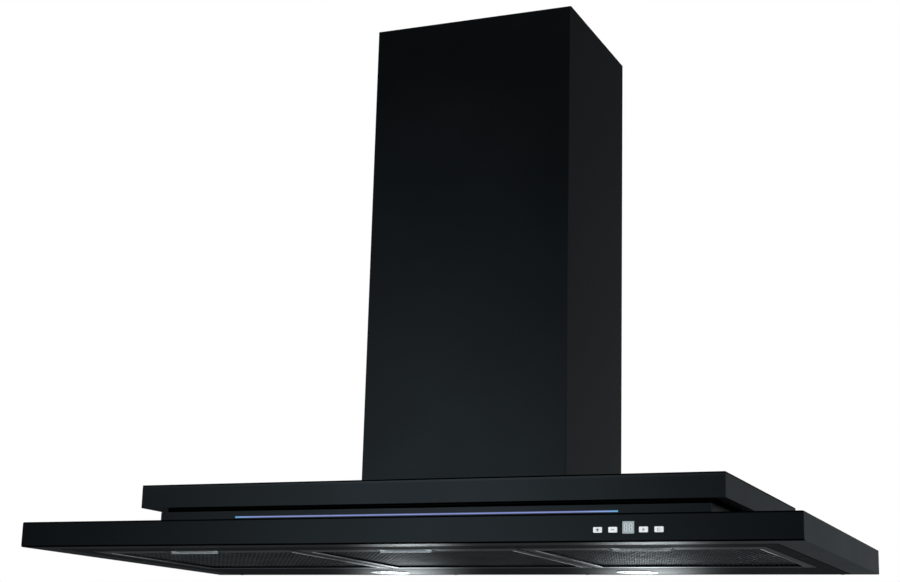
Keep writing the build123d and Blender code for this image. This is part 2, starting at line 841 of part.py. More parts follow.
gland_bore = 4.5
gland_bottom = junction_z[1] - junction_wall - 4
gland_height = 22
with BuildPart() as cable_gland:
    rod(gland_x, gland_y, (gland_bottom, junction_z[1] - junction_wall), 11)
    rod(gland_x, gland_y, (gland_bottom, junction_z[1]), 8)
    with BuildSketch(Plane.XY.offset(junction_z[1])):
        with Locations((gland_x, gland_y)):
            RegularPolygon(11, 6)
    extrude(amount=8)
    rod(gland_x, gland_y, (junction_z[1] + 8, gland_bottom + gland_height), 9)
    dome = cable_gland.edges().filter_by(GeomType.CIRCLE).group_by(Axis.Z)[-1]
    fillet(dome, 3)
    rod(gland_x, gland_y, (gland_bottom, gland_bottom + gland_height), gland_bore, Mode.SUBTRACT)
save(cable_gland, "cable_gland")

# Electronics behind the fascia
housing_front = -shell_depth + canopy_sheet
housing_rear = -566
housing_wall = 1.6
board_front = -584
housing_z = (underside + 5, underside + 33)
with BuildPart() as control_housing:
    block(span(display_x, 116), (housing_front, housing_rear), housing_z)
    fillet(control_housing.edges().filter_by(Axis.Y), 2)
    block(
        span(display_x, 116 - 2 * housing_wall),
        (housing_front, housing_rear - housing_wall),
        (housing_z[0] + housing_wall, housing_z[1] - housing_wall),
        Mode.SUBTRACT,
    )
    for x in (display_x - 48, display_x + 48):
        for z in (underside + 12, underside + 26):
            rod(x, (board_front + 1.6, housing_rear - housing_wall), z, 2.5)
save(control_housing, "control_housing")

with BuildPart() as control_board:
    block(span(display_x, 108), (board_front, board_front + 1.6), (underside + 7.4, underside + 30.6))
    block(span(display_x, 20), (-shell_depth, board_front), span(display_z, 20))
    for x in button_xs:
        block(span(x, 6), (board_front - 3.6, board_front), span(button_z, 6))
        rod(x, (switch_front, board_front - 3.6), button_z, 1.6)
save(control_board, "control_board")

with BuildPart() as display_window:
    with BuildSketch(Plane.XZ.offset(shell_depth)):
        with Locations((display_x, display_z)):
            RectangleRounded(display_size, display_size, 0.8)
    extrude(amount=fascia_thickness)
    chamfer(display_window.faces().sort_by(Axis.Y)[0].edges(), 0.3)
save(display_window, "display_window")

flange_front = -shell_depth + 0.3
stem_rear = switch_front - button_travel - 0.1
for name, x in zip(button_names, button_xs):
    with BuildPart() as button:
        with BuildSketch(Plane.XZ.offset(-flange_front)):
            with Locations((x, button_z)):
                RectangleRounded(button_width, button_height, 1)
        extrude(amount=canopy_depth + button_proud + flange_front)
        fillet(button.faces().sort_by(Axis.Y)[0].edges(), 0.4)
        block(span(x, 15), (flange_front, flange_front + 1), span(button_z, 10))
        block(span(x, 5), (flange_front + 1, stem_rear), span(button_z, 5))
    save(button, f"button_{name}")


def lead(points, radii, radius):
    """Sweeps a round lead of this radius along straight runs joined by arcs of the given radii."""
    with BuildPart() as piece:
        with BuildLine() as route:
            FilletPolyline(*points, radius=radii)
        with BuildSketch(Plane(route.line @ 0, z_dir=route.line % 0)):
            Circle(radius)
        sweep(path=route.line)
    return piece.part


# Wiring that stays inside the hood
lamp_lead_z = underside + 14
with BuildPart() as wiring_lamps:
    for side in (-1, 1):
        steps = [(driver_half_length, lamp_y), (90, lamp_y), (124, -82), (158, lamp_y), (terminal_x, lamp_y)]
        add(lead([(side * x, y, lamp_lead_z) for x, y in steps], [25, 25, 25], 2.5))
save(wiring_lamps, "wiring_lamps")

with BuildPart() as wiring_controls:
    route = [
        (*control_lead, collar_bottom + 5),
        (*control_lead, 70),
        (control_lead[0], -22, 20),
        (control_lead[0], -22, -225),
        (425, -22, -225),
        (425, -400, -225),
        (425, -436, -257),
        (display_x, -540, -257),
        (display_x, housing_rear, -257),
    ]
    add(lead(route, [30] * 7, 3))
save(wiring_controls, "wiring_controls")

with BuildPart() as wiring_motor:
    route = [
        (junction_x[1] - 5, motor_lead[1], 145),
        (*motor_lead, 145),
        (*motor_lead, 108),
        (122, motor_lead[1], 108),
        (122, motor_lead[1], fan_z),
        (122, fan_y, fan_z),
        (bracket_x, fan_y, fan_z),
    ]
    add(lead(route, [12] * 5, 3))
save(wiring_motor, "wiring_motor")
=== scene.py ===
# %% [markdown]
# # Dressing a canopy range hood
# The hood hangs on a kitchen wall: a wide thin tier with controls in its front edge, a recessed neck with a
# light strip, a second tier, and a tall chimney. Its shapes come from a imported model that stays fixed. This
# lesson adds what makes it look real: paint, metals, mesh, marks, small fasteners, light and a camera. The
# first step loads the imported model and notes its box, because nothing made later may stick out of it.

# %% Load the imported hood
import json
import math

import bmesh
import bpy
from mathutils import Matrix, Vector, noise


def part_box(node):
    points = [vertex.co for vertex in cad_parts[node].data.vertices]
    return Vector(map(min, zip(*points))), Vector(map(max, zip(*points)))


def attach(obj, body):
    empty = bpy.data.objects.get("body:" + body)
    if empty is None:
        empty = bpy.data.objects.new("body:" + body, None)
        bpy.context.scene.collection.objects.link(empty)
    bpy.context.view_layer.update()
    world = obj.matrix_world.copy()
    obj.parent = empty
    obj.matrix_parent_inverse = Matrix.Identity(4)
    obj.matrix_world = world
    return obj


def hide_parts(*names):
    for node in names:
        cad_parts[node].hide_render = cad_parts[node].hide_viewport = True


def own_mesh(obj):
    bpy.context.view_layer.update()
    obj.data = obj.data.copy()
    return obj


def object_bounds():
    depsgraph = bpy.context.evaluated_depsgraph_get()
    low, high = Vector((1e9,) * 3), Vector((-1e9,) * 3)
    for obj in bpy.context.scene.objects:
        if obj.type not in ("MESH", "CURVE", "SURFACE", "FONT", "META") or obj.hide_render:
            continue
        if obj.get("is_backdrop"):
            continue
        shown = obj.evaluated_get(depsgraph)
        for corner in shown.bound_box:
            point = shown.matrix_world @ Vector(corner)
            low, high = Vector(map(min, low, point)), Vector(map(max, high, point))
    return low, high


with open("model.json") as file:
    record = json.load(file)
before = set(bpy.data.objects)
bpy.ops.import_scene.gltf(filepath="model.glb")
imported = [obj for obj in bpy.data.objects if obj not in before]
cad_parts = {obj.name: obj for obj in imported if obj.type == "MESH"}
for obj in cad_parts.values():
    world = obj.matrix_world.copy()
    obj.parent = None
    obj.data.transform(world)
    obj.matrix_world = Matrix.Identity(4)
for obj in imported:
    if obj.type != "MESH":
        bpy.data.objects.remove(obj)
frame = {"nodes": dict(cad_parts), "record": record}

cad_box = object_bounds()
scene = bpy.context.scene
MM = 0.001
FILTERS = ("left", "middle", "right")
print("box in metres:", [round(side, 4) for side in cad_box[1] - cad_box[0]])

# %% [markdown]
# ## The camera
# The photograph looks up at the hood from the front right, from a little below its underside. Its angles
# were found by fitting the hood's corners to the picture, and the lens from how fast the sides shrink. A
# plain perspective camera with no shift is enough.

# %% Place the camera
PICTURE_WIDTH = 900
FOCAL_PIXELS = 1673.16
CAMERA_PLACE = (1.0154, -2.7313, -0.4745)
HEADING, LOOK_UP, ROLL = 23.14, 13.38, 1.585
camera_data = bpy.data.cameras.new("camera")
camera_data.sensor_width = 36
camera_data.lens = FOCAL_PIXELS * camera_data.sensor_width / PICTURE_WIDTH
camera = bpy.data.objects.new("camera", camera_data)
scene.collection.objects.link(camera)
scene.camera = camera
heading = Matrix.Rotation(math.radians(HEADING), 4, "Z")
tilt = Matrix.Rotation(math.radians(90 + LOOK_UP), 4, "X")
roll = Matrix.Rotation(math.radians(ROLL), 4, "Z")
camera.matrix_world = Matrix.Translation(CAMERA_PLACE) @ heading @ tilt @ roll
print("lens:", round(camera_data.lens, 2), "mm")

# %% [markdown]
# ## A tool for shader trees
# Blender builds the world and every material as a tree of nodes. Adding and linking each node by hand takes
# many lines, so this small class does it. An input takes a plain value or the output of another node, so
# each line reads like a formula.

# %% Tool for shader trees
class Tree:
    """The shader tree of the world or of a material, with short ways to add to it."""

    def __init__(self, owner):
        owner.use_nodes = True
        self.nodes = owner.node_tree.nodes
        self.links = owner.node_tree.links

    def plug(self, socket, value):
        """Gives an input a plain value or the output of another node."""
        if isinstance(value, bpy.types.NodeSocket):
            self.links.new(value, socket)
        else:
            socket.default_value = value

    def add(self, kind, *values, **settings):
        """Adds a node with its settings, and plugs values into its inputs in their order."""
        node = self.nodes.new("ShaderNode" + kind)
        for name, setting in settings.items():
            setattr(node, name, setting)
        for socket, value in zip(node.inputs, values):
            self.plug(socket, value)
        return node

    def math(self, operation, *values, kind="Math"):
        """Works out an operation such as ADD, on numbers or, with VectorMath, on colours."""
        return self.add(kind, *values, operation=operation).outputs[0]

    def product(self, first, *others):
        """The product of any number of values."""
        for other in others:
            first = self.math("MULTIPLY", first, other)
        return first

    def scaled(self, colour, strength):
        """A colour made stronger or weaker."""
        node = self.add("VectorMath", colour, operation="SCALE")
        self.plug(node.inputs["Scale"], strength)
        return node.outputs[0]

    def ramp(self, value, start, end, low, high, blend="LINEAR"):
        """Goes from low to high as a value goes from start to end, and stays level outside."""
        return self.add("MapRange", value, start, end, low, high, interpolation_type=blend).outputs[0]

    def bell(self, value, middle, wide):
        """A smooth hump of height 1 about a middle value."""
        offset = self.math("DIVIDE", self.math("SUBTRACT", value, middle), wide)
        return self.math("EXPONENT", self.math("MULTIPLY", self.math("POWER", offset, 2), -1))

    def coordinates(self, kind="Object"):
        """The X, Y and Z of a place, a normal or a direction."""
        return self.add("SeparateXYZ", self.add("TexCoord").outputs[kind]).outputs

    def mixed(self, share, first, second):
        """A surface that goes from the first shader to the second as the share goes from 0 to 1."""
        return self.add("MixShader", share, first, second).outputs[0]


print("tree tool ready")

# %% [markdown]
# ## A pale studio for a black object
# Black paint shows almost nothing but reflections, so the room matters more than the lamps. Whatever looks
# straight at the background sees white. Reflections see a dim room instead, as a photographer builds it
# with black cloth and white cards. The world shader makes each card from the direction that a ray looks in:
# 0 is straight across or level, and 1 is straight to the right, the back or the top.
#
# The fronts mirror a tall narrow card to the left of the camera. It fades upwards, so the chimney darkens
# towards its top. The right-hand sides and the underside mirror a faint wide card behind the hood.

# %% Cards that the photograph shows
FRONT_X, FRONT_WIDE, FRONT_STRENGTH = -0.392, 0.085, 2.35
REAR_X, REAR_WIDE = 0.1, 0.36
REAR_Z, REAR_HIGH = 0.04, 0.24
REAR_BASE, REAR_STRENGTH = 0.27, 0.13
world = bpy.data.worlds.new("studio")
scene.world = world
sky = Tree(world)
sky.nodes.clear()
toward_x, toward_y, upward = sky.coordinates("Generated")


def soft(value, start, end, low, high):
    """A ramp of the sky that starts and ends gently."""
    return sky.ramp(value, start, end, low, high, "SMOOTHSTEP")


front = sky.product(
    sky.bell(toward_x, FRONT_X, FRONT_WIDE),
    soft(toward_y, -0.7, -0.4, 1.0, 0.0),
    soft(upward, 0.0, 0.36, 1.0, 0.0),
    soft(upward, -0.5, -0.15, 0.0, FRONT_STRENGTH),
)
rear_card = sky.product(sky.bell(toward_x, REAR_X, REAR_WIDE), sky.bell(upward, REAR_Z, REAR_HIGH))
rear_card = sky.math("ADD", rear_card, REAR_BASE)
rear = sky.product(rear_card, soft(toward_y, 0.3, 0.8, 0.0, REAR_STRENGTH))
print("front card at", FRONT_X, "and rear card at", REAR_X)

# %% [markdown]
# ## Cards for the other views
# Seen from elsewhere, the hood would mirror nothing but black cloth. These cards lie in directions that the
# photograph's view hardly mirrors: a window ahead at the right, a high card for fronts seen from far below,
# the ceiling for the tops, a card at each side, and a pale floor. The underside mirrors that floor only
# when it is seen from straight below.

# %% Cards for the other views
WINDOW_STRENGTH = 0.5
HIGH_STRENGTH = 0.36
CEILING_STRENGTH = 0.85
SIDE_STRENGTH = 0.42
FLOOR_STRENGTH = 0.45
CLOTH_STRENGTH = 0.005
ahead = soft(toward_y, -0.5, -0.1, 1.0, 0.0)
window = sky.product(
    sky.bell(upward, 0.1, 0.5),
    soft(toward_x, -0.1, 0.08, 0.0, WINDOW_STRENGTH),
    soft(toward_x, 0.6, 0.85, 1.0, 0.0),
    ahead,
)
high_card = sky.product(soft(upward, 0.48, 0.66, 0.0, HIGH_STRENGTH), ahead)
ceiling = soft(upward, 0.5, 0.88, 0.0, CEILING_STRENGTH)
side_cards = soft(sky.math("ABSOLUTE", toward_x), 0.65, 0.85, 0.0, SIDE_STRENGTH)

downward = sky.math("MULTIPLY", upward, -1)
not_behind = soft(toward_y, 0.1, 0.5, 1.0, 0.0)
off_underside = sky.math("MAXIMUM", not_behind, soft(toward_x, 0.0, 0.25, 0.0, 1.0))
far_floor = sky.product(soft(downward, 0.12, 0.5, 0.0, FLOOR_STRENGTH), off_underside)
pale_floor = sky.math("MAXIMUM", far_floor, soft(downward, 0.55, 0.9, 0.0, FLOOR_STRENGTH))

around = CLOTH_STRENGTH
for part in (window, high_card, ceiling, side_cards, pale_floor):
    around = sky.math("ADD", part, around)
print("world nodes so far:", len(sky.nodes))

# %% [markdown]
# ## Mix the room
# The fronts in the photograph are bluer than its sides, so each part of the room has its own tint. The
# Light Path node knows which kind of ray is asking. A ray that comes straight from the camera, or through
# glass, gets white instead of the room. A brighter background would wash out the paint.

# %% Mix the room
FRONT_TINT = (0.76, 0.97, 1.13)
REAR_TINT = (0.9, 1.0, 1.06)
AROUND_TINT = (0.95, 1.0, 1.02)
room = sky.scaled(FRONT_TINT, front)
for tint, part in ((REAR_TINT, rear), (AROUND_TINT, around)):
    room = sky.math("ADD", room, sky.scaled(tint, part), kind="VectorMath")
rays = sky.add("LightPath").outputs
seen_straight = sky.math("MAXIMUM", rays["Is Camera Ray"], rays["Is Transmission Ray"])
backdrop = sky.add("Background", sky.math("MAXIMUM", room, seen_straight, kind="VectorMath"))
sky.add("OutputWorld", backdrop.outputs[0])
print("world nodes:", len(sky.nodes))

# %% [markdown]
# ## Softboxes
# One softbox hangs overhead and gives the tops of the tiers a sheen, and a weaker one stands at the right.
# They are area lamps, because paint mirrors their whole shape, as it mirrors a real softbox. Matt plastics
# need light too, but more softboxes would add reflections that the photograph doesn't show. So three broad
# suns light them from the front, the rear and below, and reflections never see those.

# %% Softboxes
HOOD_MIDDLE = Vector((0, -0.3, 0))
FILL_SPREAD = math.radians(100)


def hung_lamp(name, kind, energy):
    """A lamp of a kind in the scene, still to be placed."""
    lamp = bpy.data.lights.new(name, kind)
    lamp.energy = energy
    holder = bpy.data.objects.new(name, lamp)
    scene.collection.objects.link(holder)
    return holder


def softbox(name, place, size, strength):
    """A rectangular lamp of a given brightness per area, turned towards the hood."""
    holder = hung_lamp(name, "AREA", strength * math.pi * size[0] * size[1])
    holder.data.shape = "RECTANGLE"
    holder.data.size, holder.data.size_y = size
    holder.location = place
    holder.rotation_euler = (HOOD_MIDDLE - Vector(place)).to_track_quat("-Z", "Y").to_euler()


def fill(name, turn_x, turn_z, strength):
    """A broad soft light from far away that lights matt surfaces and stays out of reflections."""
    holder = hung_lamp(name, "SUN", strength)
    holder.data.angle = FILL_SPREAD
    holder.rotation_euler = (math.radians(turn_x), 0, math.radians(turn_z))
    holder.visible_glossy = False


softbox("softbox_overhead", (0.2, -0.9, 2.6), (2.2, 1.4), 0.9)
softbox("softbox_right", (3.0, -1.6, 0.5), (1.2, 1.6), 0.5)
fill("fill_front", 70, -20, 1.7)
fill("fill_rear", 60, 160, 1.3)
fill("fill_below", 165, 0, 0.9)
print("lights:", len(bpy.data.lights))

# %% [markdown]
# ## Floor
# The hood hangs about 650 mm above a worktop, so the pale ground lies there. It keeps the hood's shadow
# near the middle and fades to the white of the room further out, so no edge shows. It shows on one side
# only, because the hood is also looked at from below, and the Geometry node tells the sides apart.

# %% Floor
FLOOR_DROP = 650 * MM
FLOOR_HALF = 12.0
FADE_START, FADE_END = 1.0, 3.2
FLOOR_WHITE = (0.9, 0.9, 0.9, 1)


def stage_sheet(name, corners, finish_name):
    """A flat sheet with an empty material; returns the sheet and its shader tree."""
    mesh = bpy.data.meshes.new(name)
    mesh.from_pydata(corners, [], [(0, 1, 2, 3)])
    material = bpy.data.materials.new(finish_name)
    tree = Tree(material)
    tree.nodes.clear()
    mesh.materials.append(material)
    sheet = bpy.data.objects.new(name, mesh)
    scene.collection.objects.link(sheet)
    return sheet, tree


def one_sided(tree, face):
    """Gives a sheet a shader on its face and leaves its back clear."""
    back = tree.add("NewGeometry").outputs["Backfacing"]
    clear = tree.add("BsdfTransparent").outputs[0]
    tree.add("OutputMaterial", tree.mixed(back, face, clear))


floor_height = cad_box[0].z - FLOOR_DROP
floor_sides = ((-1, -1), (1, -1), (1, 1), (-1, 1))
floor_corners = [(x * FLOOR_HALF, y * FLOOR_HALF, floor_height) for x, y in floor_sides]
floor, tree = stage_sheet("floor", floor_corners, "pale_floor")
floor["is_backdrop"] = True
floor.visible_glossy = False

spot = tree.add("TexCoord").outputs["Object"]
distance = tree.add("VectorMath", spot, operation="LENGTH").outputs["Value"]
fade = tree.ramp(distance, FADE_START, FADE_END, 0.0, 1.0, "SMOOTHSTEP")
matt = tree.add("BsdfDiffuse", FLOOR_WHITE).outputs[0]
one_sided(tree, tree.mixed(fade, matt, tree.add("Emission").outputs[0]))
print("floor at", round(floor_height, 3), "m")

# %% [markdown]
# ## The pools of light on the wall
# Both lamps sit close to the wall, so each throws a bright pool on it just below the hood. The glossy
# underside mirrors the pools as soft columns of light. There is no wall here, so a card stands in its place
# that only reflections can see, with two soft spots that fade downwards.

# %% Lamp pools
CARD_HALF = 600 * MM
CARD_OFF_WALL = 1 * MM
POOL_WIDTH = 62 * MM
POOL_DROP = 32 * MM
POOL_STRENGTH = 9.0
POOL_TINT = (0.9, 0.98, 1.0, 1)
rim_low, rim_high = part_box("lamp_bezel_right")
lamp_x = (rim_low.x + rim_high.x) / 2
card_low, card_high = cad_box[0].z - 450 * MM, cad_box[0].z - 3 * MM
card_sides = ((-1, card_low), (1, card_low), (1, card_high), (-1, card_high))
card_corners = [(side * CARD_HALF, CARD_OFF_WALL, z) for side, z in card_sides]
card, tree = stage_sheet("lamp_pools", card_corners, "lamp_pools")
card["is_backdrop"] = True
card.visible_camera = card.visible_diffuse = card.visible_transmission = card.visible_shadow = False

card_x, _, card_z = tree.coordinates()
near_lamp = tree.bell(tree.math("ABSOLUTE", card_x), lamp_x, POOL_WIDTH)
drop = tree.math("DIVIDE", tree.math("SUBTRACT", card_z, card_high), POOL_DROP)
pool = tree.product(near_lamp, tree.math("EXPONENT", drop), POOL_STRENGTH)
lit = tree.add("Emission", POOL_TINT, pool).outputs[0]
clear = tree.add("BsdfTransparent").outputs[0]
one_sided(tree, tree.add("AddShader", lit, clear).outputs[0])
print("lamp pools at X =", round(-lamp_x, 4), round(lamp_x, 4))

# %% [markdown]
# ## A tool for finishes
# Every finish starts from one Principled shader. A real surface is never quite even, so each one gets
# patterns in object space, measured in metres: a change of tone, of roughness, and a fine relief. Most
# finishes take all three from cloudy noise, so one call does that. Values that are the same all over are
# set on the shader itself.

# %% Tool for finishes
# The dead black of painted shade, for narrow gaps where no light gets in.
SHADE_BLACK = (0.0006, 0.0007, 0.0008, 1)
finishes = {}


class Finish(Tree):
    """A material under construction: its tree, its shader and its own coordinates."""

    def __init__(self, name, roughness=0.5, metallic=0.0, specular=0.5):
        finishes[name] = bpy.data.materials.new(name)
        super().__init__(finishes[name])
        self.shader = self.nodes["Principled BSDF"]
        self.put("Roughness", roughness)
        self.put("Metallic", metallic)
        self.put("Specular IOR Level", specular)
        self.surface = self.shader.outputs[0]
        self.place = self.add("TexCoord").outputs["Object"]

    def put(self, name, value):
        """Plugs a value into one of the shader's inputs."""
        self.plug(self.shader.inputs[name], value)

    def pattern(self, kind, scale, place=None):
        """A texture with this many waves or cells to the metre."""
        node = self.add("Tex" + kind, place or self.place)
        node.inputs["Scale"].default_value = scale
        return node

    def noise(self, scale, detail=2, place=None):
        """Cloudy noise; more detail adds finer clouds."""
        node = self.pattern("Noise", scale, place)
        node.inputs["Detail"].default_value = detail
        return node.outputs["Fac"]

    def colours(self, factor, low, high, start=0.35, end=0.65):
        """Mixes two colours by a factor and feeds the base colour."""
        node = self.add("ValToRGB", factor)
        for stop, position, colour in zip(node.color_ramp.elements, (start, end), (low, high)):
            stop.position = position
            stop.color = (*colour, 1)
        self.put("Base Color", node.outputs[0])
        return node.outputs[0]

    def rough(self, factor, low, high):
        """Lets the roughness wander between two values."""
        self.put("Roughness", self.ramp(factor, 0.3, 0.7, low, high))

    def relief(self, height, depth):
        """A fine relief of this depth in metres, on top of any relief the surface has already."""
        node = self.add("Bump")
        self.plug(node.inputs["Distance"], depth)
        self.plug(node.inputs["Height"], height)
        for earlier in self.shader.inputs["Normal"].links:
            self.plug(node.inputs["Normal"], earlier.from_socket)
        self.put("Normal", node.outputs[0])

    def grain(self, tones, gloss, depth, waves, detail=(3, 2, 2), place=None):
        """Tone, roughness and relief, each from a noise of its own; returns the tone."""
        tone, shine, height = (self.noise(*pair, place) for pair in zip(waves, detail))
        self.rough(shine, *gloss)
        self.relief(height, depth)
        return self.colours(tone, *tones)

    def brushed(self, tones, gloss, depth, stretch):
        """A grain stretched along one direction; returns the tone."""
        place = self.add("Mapping", self.place)
        place.inputs["Scale"].default_value = stretch
        return self.grain(tones, gloss, depth, (1, 1, 1), place=place.outputs[0])

    def paint_shade(self, level, start, end):
        """Paints shade: turns the surface dead black as its distance from a level goes from start to end."""
        off_level = self.math("ABSOLUTE", self.math("SUBTRACT", self.coordinates()["Z"], level))
        black = self.add("BsdfDiffuse", SHADE_BLACK).outputs[0]
        self.surface = self.mixed(self.ramp(off_level, start, end, 0.0, 1.0), self.surface, black)
        self.plug(self.nodes["Material Output"].inputs["Surface"], self.surface)

    def glow(self, colour, strength):
        """Makes the surface give off light of its own."""
        self.put("Emission Color", colour)
        self.put("Emission Strength", strength)


print("finish tool ready")

# %% [markdown]
# ## Satin black paint
# The tiers, the neck and the chimney are sheet steel with a satin black powder coat. Powder melts into a
# skin with a faint orange peel, which blurs reflections a little and makes them wander. A clear coat over a
# flat colour would look like lacquer, so this is one layer: almost black, with a weak reflection, a
# roughness that drifts over decimetres, and a relief of a few micrometres. The front plate has the same
# coat, a little bluer and smoother, the chimney mirrors less, and the pan under the hood is matt.

# %% Satin black paint
BLACK = ((0.0005, 0.0008, 0.0009), (0.0009, 0.0012, 0.0013))
MATT_BLACK = ((0.0008, 0.001, 0.001), (0.0014, 0.0017, 0.0018))
BLUE_BLACK = ((0.0005, 0.0009, 0.0011), (0.0009, 0.0013, 0.0016))


def powder_coat(name, tones, gloss, specular):
    """A satin coat between two tones, whose roughness drifts between two values."""
    coat = Finish(name, specular=specular)
    coat.grain(tones, gloss, 6e-6, waves=(9, 5, 850), detail=(4, 3, 2))
    return coat


tier_coat = powder_coat("black_paint", BLACK, (0.23, 0.28), 0.36)
chimney_coat = powder_coat("chimney_paint", BLACK, (0.22, 0.27), 0.25)
powder_coat("pan_paint", MATT_BLACK, (0.46, 0.54), 0.12)
front_coat = powder_coat("fascia_paint", BLUE_BLACK, (0.23, 0.27), 0.27)
print("black paints:", len(finishes))

# %% [markdown]
# ## Painted shade where sheets meet
# Where two sheets meet, the photograph shows a line blacker than any paint: narrow gaps in deep shade, where
# no light comes out. They are thinner than the sheets, so this shade is painted into the finish. A plain
# black replaces the paint along both rims of the front plate, under the upper tier, round the chimney's foot
# and along the upper tier's top edge. Just below that edge the sheet swells a little where it was rolled,
# which catches the light.

# %% Painted shade lines
ROLL_HIGH = 2.9 * MM
ROLL_DEPTH = 0.3 * MM
plate_low, plate_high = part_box("lower_front_fascia")
tier_low, tier_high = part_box("upper_canopy_shell")
plate_half = (plate_high.z - plate_low.z) / 2
top_edge = tier_high.z - 1.15 * MM
roll_top = top_edge - 0.95 * MM
# Painted shade: dead black along the front plate's rims, in the gap under the upper tier, along its top edge
# and round the chimney's foot.
front_coat.paint_shade(plate_low.z + plate_half, plate_half - 2.3 * MM, plate_half - 1.9 * MM)
tier_coat.paint_shade(tier_low.z - 2.6 * MM, 2.55 * MM, 2.35 * MM)
tier_coat.paint_shade(top_edge, 1.05 * MM, 0.95 * MM)
chimney_coat.paint_shade(tier_high.z, 1.6 * MM, 1.2 * MM)
swell = tier_coat.ramp(tier_coat.coordinates()["Z"], roll_top - ROLL_HIGH, roll_top, 0.0, 1.0)
tier_coat.relief(swell, ROLL_DEPTH)
print("top edge at", round(top_edge / MM, 2), "mm")

# %% [markdown]
# ## Steels and lamp metals
# The brackets and the blower box are galvanised: zinc freezes in grains a few millimetres wide, each
# reflecting differently. Voronoi cells give that spangle, both in tone and in roughness. Screws and springs
# are plain steel with fine drawing marks. The lamp rims are turned and smooth, and the heatsinks and the
# strip's channel are cast or extruded, with a coarse grain. Noise is enough for all of these, so one loop
# makes them.

# %% Steels and lamp metals
zinc = Finish("galvanised_steel", metallic=1.0)
spangle = zinc.add("SeparateColor", zinc.pattern("Voronoi", 160).outputs["Color"]).outputs
zinc.colours(spangle[0], (0.42, 0.44, 0.45), (0.66, 0.68, 0.69), 0.0, 1.0)
zinc.rough(spangle[1], 0.34, 0.55)
zinc.relief(zinc.noise(400, 3), 1e-5)

DRAWN = (4e-6, (1800, 900, 2600))
metals = {
    "spring_steel": (((0.42, 0.42, 0.41), (0.56, 0.56, 0.55)), (0.22, 0.34), *DRAWN),
    "screw_steel": (((0.03, 0.03, 0.032), (0.06, 0.06, 0.063)), (0.36, 0.48), *DRAWN),
    "box_screws": (((0.55, 0.55, 0.53), (0.7, 0.69, 0.66)), (0.25, 0.38), *DRAWN),
    "lamp_rim": (((0.22, 0.23, 0.24), (0.3, 0.31, 0.32)), (0.24, 0.34), 3e-6, (300, 150, 1200)),
    "cast_aluminium": (
        ((0.46, 0.47, 0.48), (0.62, 0.63, 0.64)), (0.45, 0.62), 6e-5, (220, 300, 900), (4, 2, 4),
    ),
}
for name, recipe in metals.items():
    Finish(name, metallic=1.0).grain(*recipe)
print("metals:", 1 + len(metals))

# %% [markdown]
# ## Aluminium of the filters
# The filter frames are rolled from satin sheet, so their grain runs along the rolling direction: noise
# stretched along X does that. The metal darkens where a face turns away from level, which is painted shade
# on the upright faces. The latches are wiped bright, and brushed along X too, and the frames' hems share
# their finish.
#
# The expanded mesh is dull. Light reaches only the lowest edges of its strands, and the rest lies in the
# shade of its neighbours, deeper than soft light can show. So painted shade darkens the metal just above
# those edges. The core behind it is darker still: its tone is painted shade of the packed layers.

# %% Aluminium of the filters
FRAME_TONES = ((0.17, 0.18, 0.185), (0.24, 0.25, 0.255))
LATCH_TONES = ((0.64, 0.61, 0.57), (0.76, 0.73, 0.69))
MESH_TONES = ((0.17, 0.185, 0.19), (0.26, 0.275, 0.28))
CORE_SHADE_TONES = ((0.015, 0.017, 0.018), (0.06, 0.064, 0.066))
frame_metal = Finish("filter_aluminium", metallic=1.0)
rolled = frame_metal.brushed(FRAME_TONES, (0.32, 0.42), 5e-6, (18, 1500, 1500))
# Painted shade: the base colour darkens as the face turns upright.
facing = frame_metal.math("ABSOLUTE", frame_metal.coordinates("Normal")["Z"])
frame_metal.put("Base Color", frame_metal.scaled(rolled, frame_metal.ramp(facing, 0.3, 0.7, 0.06, 1.0)))
Finish("latch_metal", metallic=1.0).brushed(LATCH_TONES, (0.2, 0.3), 4e-6, (30, 2500, 2500))

mesh_metal = Finish("mesh_aluminium", metallic=1.0)
grease = mesh_metal.grain(MESH_TONES, (0.3, 0.46), 2e-5, waves=(24, 60, 1500), detail=(4, 3, 2))
mesh_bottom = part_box("filter_mesh_left")[0].z
height = mesh_metal.coordinates()["Z"]
light = mesh_metal.ramp(height, mesh_bottom + 0.5 * MM, mesh_bottom + 1.1 * MM, 1.0, 0.05)
mesh_metal.put("Base Color", mesh_metal.scaled(grease, light))
# Painted shade: the core's near-black tone stands for the shade among the packed layers.
core_metal = Finish("mesh_core", metallic=1.0)
core_metal.grain(CORE_SHADE_TONES, (0.35, 0.6), 2e-4, waves=(350, 200, 600), detail=(3, 2, 3))
print("the mesh darkens above", round(mesh_bottom / MM + 0.5, 2), "mm")

# %% [markdown]
# ## Light strip and lamps
# The strip in the neck is a frosted bar lit from behind by a row of small lamps: lavender along the middle,
# and bluer towards both ends, where the first and last lamp shine on the channel's end. A lit bar is
# brightest along its middle line, so its strength falls off above and below like a bell. The two round
# lamps have a frosted lens over a ring of small bright domes. Both give off light, because a dull white
# would look switched off.

# %% Light strip and lamps
STRIP_BELL = 0.95 * MM
TINT_STOPS = (0.8, 0.95, 1.0)
TINTS = ((0.21, 0.26, 0.57), (0.22, 0.35, 0.69), (0.1, 0.44, 0.7))
strip_low, strip_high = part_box("led_diffuser")
strip = Finish("strip_light", roughness=0.35)
along_x, _, strip_z = strip.coordinates()
tint = strip.add("ValToRGB", strip.math("DIVIDE", strip.math("ABSOLUTE", along_x), strip_high.x))
tint.color_ramp.elements.new(TINT_STOPS[1])
for stop, position, colour in zip(tint.color_ramp.elements, TINT_STOPS, TINTS):
    stop.position = position
    stop.color = (*colour, 1)
line = strip.bell(strip_z, (strip_low.z + strip_high.z) / 2, STRIP_BELL)
ripple = strip.ramp(strip.noise(55), 0.0, 1.0, 1.1, 1.35)
strip.glow(tint.outputs[0], strip.product(ripple, line))
strip.colours(strip.noise(500), (0.03, 0.03, 0.06), (0.05, 0.05, 0.09))
strip.relief(strip.noise(2000), 1e-5)

